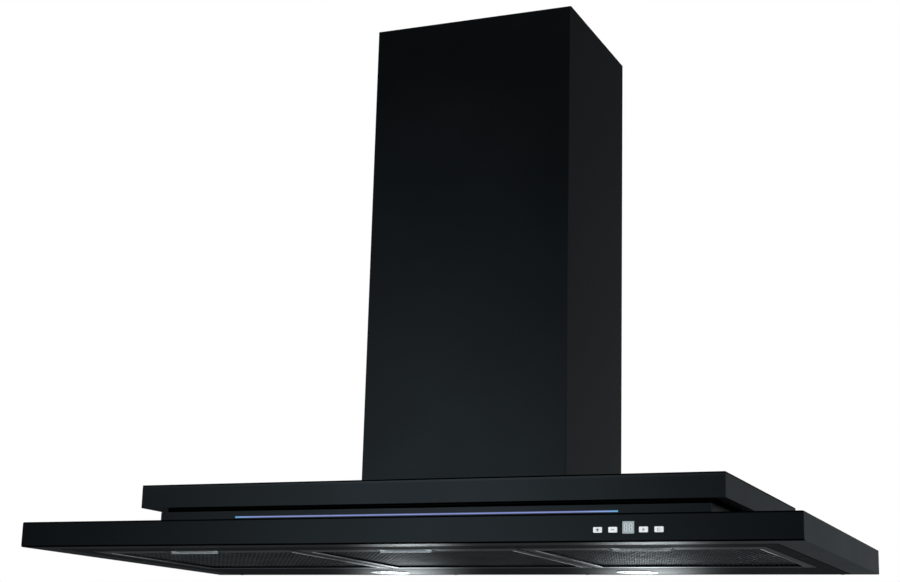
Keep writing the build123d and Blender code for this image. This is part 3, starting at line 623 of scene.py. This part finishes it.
lens = Finish("lamp_glass", roughness=0.4)
lens.colours(lens.noise(400), (0.85, 0.88, 0.9), (0.95, 0.97, 0.98))
lens.relief(lens.noise(1500), 2e-5)
lens.glow((0.93, 0.98, 1.0, 1), lens.ramp(lens.noise(120), 0.0, 1.0, 0.12, 0.2))
dome = Finish("lamp_domes", roughness=0.15)
dome.colours(dome.noise(900, 1), (0.95, 0.97, 1.0), (1.0, 1.0, 1.0))
dome.glow((0.95, 0.99, 1.0, 1), 6.0)
print("strip:", round((strip_high.x - strip_low.x) / MM, 1), "mm")

# %% [markdown]
# ## Plastics, rubber and circuit board
# The parts inside are moulded plastics. Moulds are spark-eroded, which leaves a fine grain, so each gets a
# small relief and a slight drift of tone. They differ in colour and gloss, so one loop makes them all.
# Bricks with pale joints stand for the tracks of the circuit board.

# %% Plastics
BOARD_GREENS = ((0.01, 0.11, 0.045, 1), (0.014, 0.14, 0.055, 1), (0.03, 0.23, 0.09, 1))
moulded = {
    "driver_plastic": (((0.74, 0.74, 0.72), (0.82, 0.82, 0.8)), (0.45, 0.55)),
    "scroll_plastic": (((0.04, 0.043, 0.047), (0.058, 0.062, 0.067)), (0.5, 0.62)),
    "impeller_plastic": (((0.075, 0.082, 0.09), (0.11, 0.12, 0.13)), (0.42, 0.55)),
    "motor_paint": (((0.06, 0.061, 0.065), (0.085, 0.086, 0.09)), (0.32, 0.45)),
    "grommet_rubber": (((0.02, 0.02, 0.02), (0.032, 0.032, 0.032)), (0.62, 0.75)),
    "capacitor_plastic": (((0.7, 0.71, 0.7), (0.78, 0.79, 0.78)), (0.28, 0.38)),
    "collar_plastic": (((0.022, 0.022, 0.024), (0.034, 0.034, 0.037)), (0.4, 0.52)),
    "junction_plastic": (((0.46, 0.47, 0.48), (0.54, 0.55, 0.56)), (0.46, 0.58)),
    "gland_nylon": (((0.032, 0.032, 0.034), (0.046, 0.046, 0.048)), (0.4, 0.5)),
    "cable_sheath": (((0.26, 0.26, 0.27), (0.33, 0.33, 0.34)), (0.48, 0.6)),
}
for name, (tones, gloss) in moulded.items():
    Finish(name).grain(tones, gloss, 2.5e-5, waves=(30, 90, 2200))

board = Finish("circuit_board", roughness=0.3)
tracks = board.add("TexBrick", board.place, *BOARD_GREENS, 260).outputs
board.put("Base Color", tracks["Color"])
board.relief(tracks["Fac"], 3e-5)
print("plastics:", len(moulded))

# %% [markdown]
# ## Buttons and display
# The buttons are white plastic with a pearl-like metallic paint, and the display is a grey liquid-crystal
# window whose figures are a little paler than their ground. Both get their marks as thin pieces of their
# own further on.

# %% Buttons, display and marks
PEARL_TONES = ((0.7, 0.73, 0.74), (0.84, 0.86, 0.87))
WINDOW_TONES = ((0.29, 0.34, 0.35), (0.36, 0.41, 0.42))
Finish("button_silver", specular=0.6).grain(PEARL_TONES, (0.26, 0.36), 4e-6, waves=(700, 900, 3000))
Finish("display_plastic").grain(WINDOW_TONES, (0.2, 0.3), 3e-6, waves=(450, 200, 1500))

inks = {
    "mark_ink": ((0.018, 0.02, 0.022), (0.03, 0.032, 0.035)),
    "figure_pale": ((0.52, 0.58, 0.59), (0.6, 0.66, 0.67)),
    "figure_dark": ((0.14, 0.17, 0.18), (0.18, 0.21, 0.22)),
    "seam_dark": ((0.02, 0.022, 0.024), (0.035, 0.037, 0.04)),
}
for name, tones in inks.items():
    Finish(name).grain(tones, (0.45, 0.6), 5e-6, waves=(1500, 1200, 4000), detail=(2, 2, 1))
print("finishes:", len(finishes))

# %% [markdown]
# ## Hand every node its finish
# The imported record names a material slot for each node, and the finishes above carry the same names, so one
# loop dresses all of them. Only the chimney's covers differ, because they mirror less than the tiers.

# %% Dress the nodes
own_finish = {"chimney_lower_cover": "chimney_paint", "chimney_upper_cover": "chimney_paint"}
rows = frame["record"]["subparts"]
for row in rows:
    node = frame["nodes"][row["node"]]
    finish = finishes[own_finish.get(row["node"], row["material_slot"])]
    for place in node.material_slots:
        place.material = finish
    if not node.material_slots:
        node.data.materials.append(finish)
print("dressed nodes:", len(rows))

# %% [markdown]
# ## Tools for new pieces
# New pieces are written as corners and faces. Coordinates are metres in the hood's own frame, so each piece
# is made where it belongs and then rides on the body that carries it. A face whose corners are listed the
# wrong way round looks inwards, so the tool turns all normals outwards.
#
# Strands, beads, coils, inks and screws are all the same thing: rounds of points, one after the other, with
# a skin between them. Blender could bevel a curve, but a shape that repeats a hundred times is quicker as
# one mesh.

# %% Tools for new pieces
def new_piece(name, shape, body, finish, smooth=False):
    """Makes a mesh piece from corners and faces, gives it a finish and lets it ride on a body."""
    corners, faces = shape
    mesh = bpy.data.meshes.new(name)
    mesh.from_pydata(corners, [], faces)
    sculpt = bmesh.new()
    sculpt.from_mesh(mesh)
    bmesh.ops.recalc_face_normals(sculpt, faces=sculpt.faces)
    sculpt.to_mesh(mesh)
    sculpt.free()
    mesh.materials.append(finishes[finish])
    mesh.polygons.foreach_set("use_smooth", [smooth] * len(mesh.polygons))
    mesh.update()
    piece = bpy.data.objects.new(name, mesh)
    scene.collection.objects.link(piece)
    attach(piece, body)
    return piece


def tube(rounds, looped=False):
    """A skin through rounds of points, with closed ends, or with its ends joined if it is looped."""
    sides = len(rounds[0])
    corners = [tuple(corner) for points in rounds for corner in points]
    faces = []
    for index in range(len(rounds) if looped else len(rounds) - 1):
        here, there = index * sides, (index + 1) % len(rounds) * sides
        for side in range(sides):
            after = (side + 1) % sides
            faces.append((here + side, there + side, there + after, here + after))
    if not looped:
        faces.append(tuple(range(sides)))
        faces.append(tuple(reversed(range(len(corners) - sides, len(corners)))))
    return corners, faces


def merged(shapes):
    """Joins several shapes into one."""
    corners, faces = [], []
    for more_corners, more_faces in shapes:
        start = len(corners)
        corners += more_corners
        faces += [tuple(start + index for index in face) for face in more_faces]
    return corners, faces


def circle(count, start=0.0):
    """The cosine and sine of evenly spaced turns."""
    turns = [start + math.tau * step / count for step in range(count)]
    return [(math.cos(turn), math.sin(turn)) for turn in turns]


def flat_axes(outward):
    """Two directions at right angles to a third and to each other."""
    first = Vector((1, 0, 0)) if abs(outward.x) < 0.5 else Vector((0, 1, 0))
    return first, outward.cross(first)


print("piece tools ready")

# %% [markdown]
# ## Expanded mesh of the filters
# Expanded metal is a sheet that is slit and pulled open: every strand zigzags from bond to bond, and its
# flat side ends up tilted. A texture can't catch light on those tilted edges, so the strands are real. Each
# is one zigzag ribbon that its neighbour mirrors, so they touch at the bonds and leave diamonds.

# %% Expanded mesh
DIAMOND_WIDE = 7.8 * MM
DIAMOND_LONG = 13 * MM
STRAND_WIDE = 1.5 * MM
STRAND_THICK = 0.45 * MM
STRAND_TILT = math.radians(9)
CRIMP = 0.6 * MM


def expanded_layer(low, high, middle_z, coarser=1.0, crimp=0.0):
    """A layer of expanded metal between two corners, every other strand raised by a crimp."""
    strands = int((high.x - low.x) / (DIAMOND_WIDE * coarser / 2))
    bends = int((high.y - low.y) / (DIAMOND_LONG * coarser / 2)) + 1
    across = (high.x - low.x) / strands
    along = (high.y - low.y) / (bends - 1)
    wide = Vector((math.cos(STRAND_TILT), math.sin(STRAND_TILT))) * STRAND_WIDE / 2
    thick = Vector((-math.sin(STRAND_TILT), math.cos(STRAND_TILT))) * STRAND_THICK / 2
    section = (thick + wide, thick - wide, -thick - wide, wide - thick)
    reach = across / 2 - wide.x
    ribbons = []
    for strand in range(strands):
        centre = low.x + (strand + 0.5) * across
        lift = middle_z + (crimp if strand % 2 else -crimp)
        rounds = []
        for bend in range(bends):
            middle_x = centre + (reach if (strand + bend) % 2 else -reach)
            rounds.append([(middle_x + x, low.y + bend * along, lift + z) for x, z in section])
        ribbons.append(tube(rounds))
    return merged(ribbons)


print("diamonds:", DIAMOND_WIDE / MM, "by", DIAMOND_LONG / MM, "mm")

# %% [markdown]
# ## Core of the filters
# Between the outer layers a real filter is packed with more layers, which from outside look like one dark
# crumpled mass. Their strands would cost millions of faces that nobody sees, so the core is one slab whose
# two skins are crumpled by smooth noise.

# %% Crumpled core
CRUMPLE_WAVES = 210
CRUMPLE_DEPTH = 0.35 * MM


def crumpled_core(low, high, pitch):
    """A thin slab between two corners whose two skins are crumpled."""
    columns = int((high.x - low.x) / pitch)
    rows = int((high.y - low.y) / pitch)
    rounds = []
    for row in range(rows + 1):
        y = low.y + (high.y - low.y) * row / rows
        points = []
        for level, side in ((low.z, -1), (high.z, 1)):
            line = []
            for column in range(columns + 1):
                x = low.x + (high.x - low.x) * column / columns
                bump = noise.noise(Vector((x * CRUMPLE_WAVES, y * CRUMPLE_WAVES, side * 7.0)))
                line.append((x, y, level - side * CRUMPLE_DEPTH * (1 + bump)))
            points += line[::-side]
        rounds.append(points)
    return tube(rounds)


print("crumples:", round(1 / CRUMPLE_WAVES / MM, 1), "mm wide")

# %% [markdown]
# ## Fill the filters
# One layer shows below and a coarser one above, with the core between them. The three together stand for
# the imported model's plain slab.

# %% Filter meshes
CORE_PITCH = 4 * MM
COARSER = 1.5
SPARE = 1.6
layer_half = (STRAND_WIDE * math.sin(STRAND_TILT) + STRAND_THICK * math.cos(STRAND_TILT)) / 2
for name in FILTERS:
    low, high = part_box(f"filter_mesh_{name}")
    body = f"filter_{name}"
    below_layer = expanded_layer(low, high, low.z + layer_half + CRIMP, 1.0, CRIMP)
    outer = new_piece(f"mesh_outer_{name}", below_layer, body, "mesh_aluminium")
    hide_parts(f"filter_mesh_{name}")
    above_layer = expanded_layer(low, high, high.z - layer_half, COARSER)
    new_piece(f"mesh_inner_{name}", above_layer, body, "mesh_aluminium")
    core_low = Vector((low.x, low.y, low.z + 2 * layer_half + SPARE * CRIMP))
    core_high = Vector((high.x, high.y, high.z - SPARE * layer_half))
    core = crumpled_core(core_low, core_high, CORE_PITCH)
    new_piece(f"mesh_core_{name}", core, body, "mesh_core")
    print(f"filter {name}:", len(below_layer[1]) + len(above_layer[1]) + len(core[1]), "faces")

# %% [markdown]
# ## Mitred corners of the filter frames
# A filter frame is folded from one strip and mitred at its corners, which leaves a hairline from each outer
# corner to the inner one. A groove that fine is drawn as a narrow dark inlay, two hundredths of a
# millimetre proud.

# %% Frame mitres
MITRE_WIDE = 0.5 * MM
INLAY = 0.02 * MM
MESH_GRIP = 4 * MM
CORNER_TRIM = 1.2 * MM


def inlay(start, end, wide, bottom, top):
    """A thin flat bar between two points of the XY plane, from one height to another."""
    side = (end - start).orthogonal().normalized() * wide / 2
    outline = (start - side, end - side, end + side, start + side)
    return tube([[(x, y, height) for x, y in outline] for height in (bottom, top)])


for name in FILTERS:
    mesh_low, mesh_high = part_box(f"filter_mesh_{name}")
    low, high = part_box(f"filter_frame_{name}")
    rear = mesh_high.y + (mesh_low.x - low.x)
    bars = []
    for outer_x, inner_x in ((low.x, mesh_low.x + MESH_GRIP), (high.x, mesh_high.x - MESH_GRIP)):
        for outer_y, inner_y in ((low.y, mesh_low.y + MESH_GRIP), (rear, mesh_high.y - MESH_GRIP)):
            outer, inner = Vector((outer_x, outer_y)), Vector((inner_x, inner_y))
            trim = (inner - outer).normalized() * CORNER_TRIM
            bars.append(inlay(outer + trim, inner - trim / 2, MITRE_WIDE, low.z - INLAY, low.z + INLAY))
    new_piece(f"frame_mitres_{name}", merged(bars), f"filter_{name}", "seam_dark")
print("mitres:", len(bars), "to a frame")

# %% [markdown]
# ## Hems of the filter frames
# The sheet of a frame is folded back on itself where it holds the mesh. That leaves a thin rounded bead,
# which shows as a fine line. The bead is real, but its bright latch metal, much paler than the frame, is a
# painted highlight. It is a half-round bar along the two long sides.

# %% Frame hems
HEM_WIDE = 2.0 * MM
HEM_RISE = 0.35 * MM
HEM_SINK = 0.05 * MM


def bead(x, y_from, y_to, bottom, steps=8):
    """A half-round bar along Y that bulges downwards."""
    turns = [math.pi * step / steps for step in range(steps + 1)]
    profile = [(x - HEM_WIDE / 2 * math.cos(turn), bottom - HEM_RISE * math.sin(turn)) for turn in turns]
    return tube([[(px, y, pz) for px, pz in profile] for y in (y_from, y_to)])


for name in FILTERS:
    mesh_low, mesh_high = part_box(f"filter_mesh_{name}")
    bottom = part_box(f"filter_frame_{name}")[0].z + HEM_SINK
    y_from, y_to = mesh_low.y + MESH_GRIP, mesh_high.y - MESH_GRIP
    inset = MESH_GRIP - HEM_WIDE
    hems = merged([bead(x, y_from, y_to, bottom) for x in (mesh_low.x + inset, mesh_high.x - inset)])
    # Painted highlight: the hems take the bright latch metal.
    new_piece(f"frame_hem_highlights_{name}", hems, f"filter_{name}", "latch_metal", smooth=True)
print("hem:", HEM_WIDE / MM, "mm wide")

# %% [markdown]
# ## Springs of the latches
# Two small coil springs push each latch shut, and on the real hood they shorten when it is pulled. Here they
# keep one length, from the box of the imported spring. The last half turn at each end closes up, as on real
# springs.

# %% Latch springs
SPRING_TURNS = 6
SPRING_WIRE = 0.25 * MM
TURN_STEPS = 28
WIRE_SIDES = 8
CLOSED = 0.5 / SPRING_TURNS


def coil_spring(centre_x, centre_z, front, rear, radius):
    """A wire wound along Y between two ends, its first and last half turns closed up."""
    open_length = rear - front - 2 * SPRING_WIRE
    steps = SPRING_TURNS * TURN_STEPS
    rounds = []
    for step in range(steps + 1):
        share = step / steps
        eased = min(max((share - CLOSED / 2) / (1 - CLOSED), 0.0), 1.0)
        turn = math.tau * SPRING_TURNS * share
        across, upright = math.cos(turn), math.sin(turn)
        y = front + SPRING_WIRE + open_length * eased
        wire = [(radius + SPRING_WIRE * c, y + SPRING_WIRE * s) for c, s in circle(WIRE_SIDES)]
        rounds.append([(centre_x + r * across, wire_y, centre_z + r * upright) for r, wire_y in wire])
    return tube(rounds)


for name in FILTERS:
    low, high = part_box(f"latch_spring_{name}")
    body = f"filter_{name}"
    centre_z, half = (low.z + high.z) / 2, (high.z - low.z) / 2
    pair = merged([
        coil_spring(x, centre_z, low.y, high.y, half - SPRING_WIRE) for x in (low.x + half, high.x - half)
    ])
    springs = new_piece(f"spring_pair_{name}", pair, body, "spring_steel", smooth=True)
    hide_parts(f"latch_spring_{name}")
    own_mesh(springs)

# %% [markdown]
# ## Seams of the neck
# The neck's sides are separate panels tucked behind its front sheet, so a narrow dark seam runs up each
# side close to the front corner. It ends below the gap under the upper tier.

# %% Neck seams
SEAM_FROM, SEAM_TO = 0.5 * MM, 5.0 * MM
SEAM_TOP = 5 * MM
low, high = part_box("neck_wrap")
seams = []
for x in (low.x, high.x):
    start, end = Vector((x, low.y + SEAM_FROM)), Vector((x, low.y + SEAM_TO))
    seams.append(inlay(start, end, 2 * INLAY, low.z, high.z - SEAM_TOP))
new_piece("neck_seams", merged(seams), "hood_body", "seam_dark")
print("neck seams:", len(seams))

# %% [markdown]
# ## Marks on the buttons
# The four buttons carry plain signs in grey ink: a lamp with rays, minus, plus, and the usual ring with a
# bar for power. Printed ink lies on the surface, so each sign is a skin a hundredth of a millimetre thick
# that travels with its button. Outlines are in millimetres about the button's middle.

# %% Button marks
INK = 0.01 * MM
PEN, THIN_PEN = 0.85, 0.7
ARM = 4.0
DISC, RAYS, RING = 1.4, 2.3, 2.0


def skin(outline, centre, face_y):
    """A thin skin on a front face from an outline of (x, z) points about a centre, in millimetres."""
    points = [(centre.x + x * MM, centre.z + z * MM) for x, z in outline]
    return tube([[(x, y, z) for x, z in points] for y in (face_y - INK, face_y + INK)])


def stroke(x, z, wide, high, turn=0.0):
    """Outline of a bar about (x, z), turned by an angle."""
    c, s = math.cos(turn), math.sin(turn)
    box = [(-wide / 2, -high / 2), (wide / 2, -high / 2), (wide / 2, high / 2), (-wide / 2, high / 2)]
    return [(x + u * c - v * s, z + u * s + v * c) for u, v in box]


def arc(radius, wide, start, end, steps=20):
    """Short outlines that follow an arc between two angles in degrees."""
    turns = [math.radians(start + (end - start) * step / steps) for step in range(steps + 1)]
    inner, outer = (
        [(edge * math.cos(turn), edge * math.sin(turn)) for turn in turns]
        for edge in (radius - wide / 2, radius + wide / 2)
    )
    return [[inner[step], outer[step], outer[step + 1], inner[step + 1]] for step in range(steps)]


half_arm, arm_middle = (ARM - PEN) / 2, (ARM + PEN) / 4
disc = [(DISC * c, DISC * s) for c, s in circle(18)]
rays = [stroke(RAYS * c, RAYS * s, 1.0, 0.6, math.atan2(s, c)) for c, s in circle(8)]
upright = [stroke(0, z, PEN, half_arm) for z in (arm_middle, -arm_middle)]
signs = {
    "light": [disc, *rays],
    "minus": [stroke(0, 0, ARM, PEN)],
    "plus": [stroke(0, 0, ARM, PEN), *upright],
    "power": [*arc(RING, THIN_PEN, -235, 55), stroke(0, 1.7, THIN_PEN, 2.0)],
}
for name, outlines in signs.items():
    low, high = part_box(f"button_{name}")
    ink = merged([skin(outline, (low + high) / 2, low.y + INK) for outline in outlines])
    new_piece(f"mark_{name}", ink, f"button_{name}", "mark_ink")
print("marks:", list(signs))

# %% [markdown]
# ## Figures of the display
# Two seven-bar figures, as such displays have. The bars are paler than the window, and each figure stands
# on a darker ground, where the liquid crystal lies. Each bar is a thin skin, like the signs on the buttons.

# %% Display figures
FIGURE_WIDE, FIGURE_HIGH = 3.1, 9.4
FIGURE_SPOTS = (-3.4, 3.4)
BAR, BAR_GAP = 1.3, 0.7
half_wide, half_high = FIGURE_WIDE / 2, FIGURE_HIGH / 2
bars, grounds = [], []
for figure_x in FIGURE_SPOTS:
    bars += [stroke(figure_x, z, FIGURE_WIDE - BAR_GAP, BAR) for z in (half_high, 0, -half_high)]
    for x in (figure_x - half_wide, figure_x + half_wide):
        bars += [stroke(x, z, BAR, half_high - BAR_GAP) for z in (half_high / 2, -half_high / 2)]
    grounds.append(stroke(figure_x, 0, FIGURE_WIDE + BAR, FIGURE_HIGH + BAR))
low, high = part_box("display_window")
middle = (low + high) / 2
ground_skins = merged([skin(outline, middle, low.y) for outline in grounds])
new_piece("display_grounds", ground_skins, "hood_body", "figure_dark")
bar_skins = merged([skin(outline, middle, low.y - 1.5 * INK) for outline in bars])
new_piece("display_figures", bar_skins, "hood_body", "figure_pale")
print("display bars:", len(bars))

# %% [markdown]
# ## Domes of the lamps
# Under each frosted lens sits a ring of six small lamps round a seventh. Their domes shine through as
# bright dots, a dotted line in the photograph. Each is a low cap built ring by ring.

# %% Lamp domes
DOME_RADIUS = 3.6 * MM
DOME_RISE = 0.9 * MM
DOME_CIRCLE = 14 * MM
DOWN = Vector((0, 0, -1))


def cap(centre, radius, rise, outward, rings=4, sides=18):
    """A low dome whose rim is centred on a point and whose top points outward."""
    first, second = flat_axes(outward)
    rounds = []
    for ring in range(rings):
        angle = math.pi / 2 * ring / rings
        middle = centre + outward * rise * math.sin(angle)
        reach = radius * math.cos(angle)
        rounds.append([middle + (first * c + second * s) * reach for c, s in circle(sides)])
    corners, faces = tube(rounds)
    last = faces.pop()
    faces += [(a, b, len(corners)) for a, b in zip(last, last[1:] + last[:1])]
    return corners + [tuple(centre + outward * rise)], faces


for name in ("left", "right"):
    low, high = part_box(f"lamp_lens_{name}")
    centre = Vector(((low.x + high.x) / 2, (low.y + high.y) / 2, low.z))
    places = [centre, *(centre + Vector((c, s, 0)) * DOME_CIRCLE for c, s in circle(6))]
    domes = merged([cap(place, DOME_RADIUS, DOME_RISE, DOWN) for place in places])
    new_piece(f"lamp_domes_{name}", domes, "hood_body", "lamp_domes", smooth=True)
print("domes:", len(places), "to a lamp")

# %% [markdown]
# ## Small screws
# The blower box, the junction box and the lamp driver are closed with small pan-head screws. Each head is a
# low dome with a cross-shaped recess. Thin dark bars on top of the dome stand for that recess as painted
# shade, and are cheap to repeat. They are measured in shares of the head's radius.

# %% Tool for screws
HEAD_RISE = 0.45
CROSS_LONG, CROSS_WIDE = 0.55, 0.11
CROSS_FROM, CROSS_THICK = 0.38, 0.085


def screw_heads(name, places, outward, radius):
    """Pan-head screws with crosses of painted shade for their recesses, at these places, all facing the same
    way.
    """
    heads = merged([cap(place, radius, radius * HEAD_RISE, outward, 4, 16) for place in places])
    new_piece(name, heads, "hood_body", "box_screws", smooth=True)
    first, second = flat_axes(outward)
    bars = []
    for place in places:
        levels = [place + outward * radius * rise for rise in (CROSS_FROM, CROSS_FROM + CROSS_THICK)]
        for a, b in ((first, second), (second, first)):
            far, near = a * radius * CROSS_LONG, b * radius * CROSS_WIDE
            outline = (-far - near, far - near, far + near, near - far)
            bars.append(tube([[level + corner for corner in outline] for level in levels]))
    # Painted shade: dark bars stand in for the shaded cross recesses.
    new_piece(name + "_recess_shade", merged(bars), "hood_body", "seam_dark")
    print(name, len(places))


# %% [markdown]
# ## Place the screws
# Each group takes its places from the box of what it holds, so it stays right when the model changes. The
# collar and the motor bracket have theirs on a circle.

# %% Screws
FRONT, BACK = Vector((0, -1, 0)), Vector((0, 1, 0))
UP, RIGHT = Vector((0, 0, 1)), Vector((1, 0, 0))
COVER_INSET, COVER_FOOT, COVER_HEAD = 6 * MM, 18 * MM, 20 * MM
END_INSET = 8 * MM
COLLAR_FLANGE, COLLAR_CIRCLE = 2 * MM, 81 * MM
ARM_CIRCLE = 79 * MM


def centre_of(node):
    """The middle of a node's box."""
    low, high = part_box(node)
    return (low + high) / 2


low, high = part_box("blower_box_front")
cover_sides = (low.x + COVER_INSET, high.x - COVER_INSET)
cover_levels = (low.z + COVER_FOOT, high.z - COVER_HEAD)
cover_spots = [Vector((x, low.y, z)) for x in cover_sides for z in cover_levels]
screw_heads("blower_cover_screws", cover_spots, FRONT, 4 * MM)
collar = centre_of("outlet_collar")
collar.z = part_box("blower_box_top")[1].z + COLLAR_FLANGE
collar_spots = [collar + Vector((c, s, 0)) * COLLAR_CIRCLE for c, s in circle(4, math.pi / 4)]
screw_heads("collar_screws", collar_spots, UP, 3.2 * MM)
low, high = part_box("junction_box_lid")
lid_spots = [Vector((x, low.y, (low.z + high.z) / 2)) for x in (low.x + END_INSET, high.x - END_INSET)]
screw_heads("junction_lid_screws", lid_spots, FRONT, 3 * MM)
low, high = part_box("led_driver")
driver_spots = [Vector((x, (low.y + high.y) / 2, high.z)) for x in (low.x + END_INSET, high.x - END_INSET)]
screw_heads("driver_screws", driver_spots, UP, 4 * MM)
hub = centre_of("impeller")
hub.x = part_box("motor_bracket")[1].x
arm_spots = [hub + Vector((0, c, s)) * ARM_CIRCLE for c, s in circle(3, math.pi / 2)]
screw_heads("motor_bracket_screws", arm_spots, RIGHT, 5 * MM)

# %% [markdown]
# ## Spot welds on the blower box
# The box's rear sheet is spot-welded to its sides. Each weld leaves a shallow round dimple with a raised
# rim. They tell the eye that this is folded sheet, so they are modelled as low rings.

# %% Spot welds
WELD_RADIUS, WELD_WIDE, WELD_RISE = 2.6 * MM, 1.0 * MM, 0.25 * MM
WELD_INSET, WELD_FOOT, WELD_PITCH = 19 * MM, 23 * MM, 45 * MM
WELD_ROWS = 7


def weld_ring(centre, outward, sides=20):
    """A low ring about a point on a face that looks outward."""
    first, second = flat_axes(outward)
    rounds = []
    for step, lift in ((-1, 0), (0, WELD_RISE), (1, 0)):
        reach = WELD_RADIUS + step * WELD_WIDE / 2
        middle = centre + outward * lift
        rounds.append([middle + (first * c + second * s) * reach for c, s in circle(sides)])
    return tube(rounds, looped=True)


low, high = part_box("blower_box_shell")
weld_levels = [low.z + WELD_FOOT + row * WELD_PITCH for row in range(WELD_ROWS)]
welds = [Vector((x, high.y, z)) for x in (low.x + WELD_INSET, high.x - WELD_INSET) for z in weld_levels]
rings = merged([weld_ring(place, BACK) for place in welds])
new_piece("box_spot_welds", rings, "hood_body", "galvanised_steel", smooth=True)
print("welds:", len(welds))

# %% [markdown]
# ## Measure the size and set the view
# This cell prints how far the dressed hood reaches past the imported model's box on each side, in
# millimetres, so a piece that sticks out is seen at once. The dressed hood has to stay inside the imported
# model's box. It also sets the view transform to Standard.

# %% Print the growth and set the view
scene.view_settings.view_transform = "Standard"
visual_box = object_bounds()
grown = [*(cad_box[0] - visual_box[0]), *(visual_box[1] - cad_box[1])]
print("grown by, in mm:", [round(side / MM, 3) for side in grown])
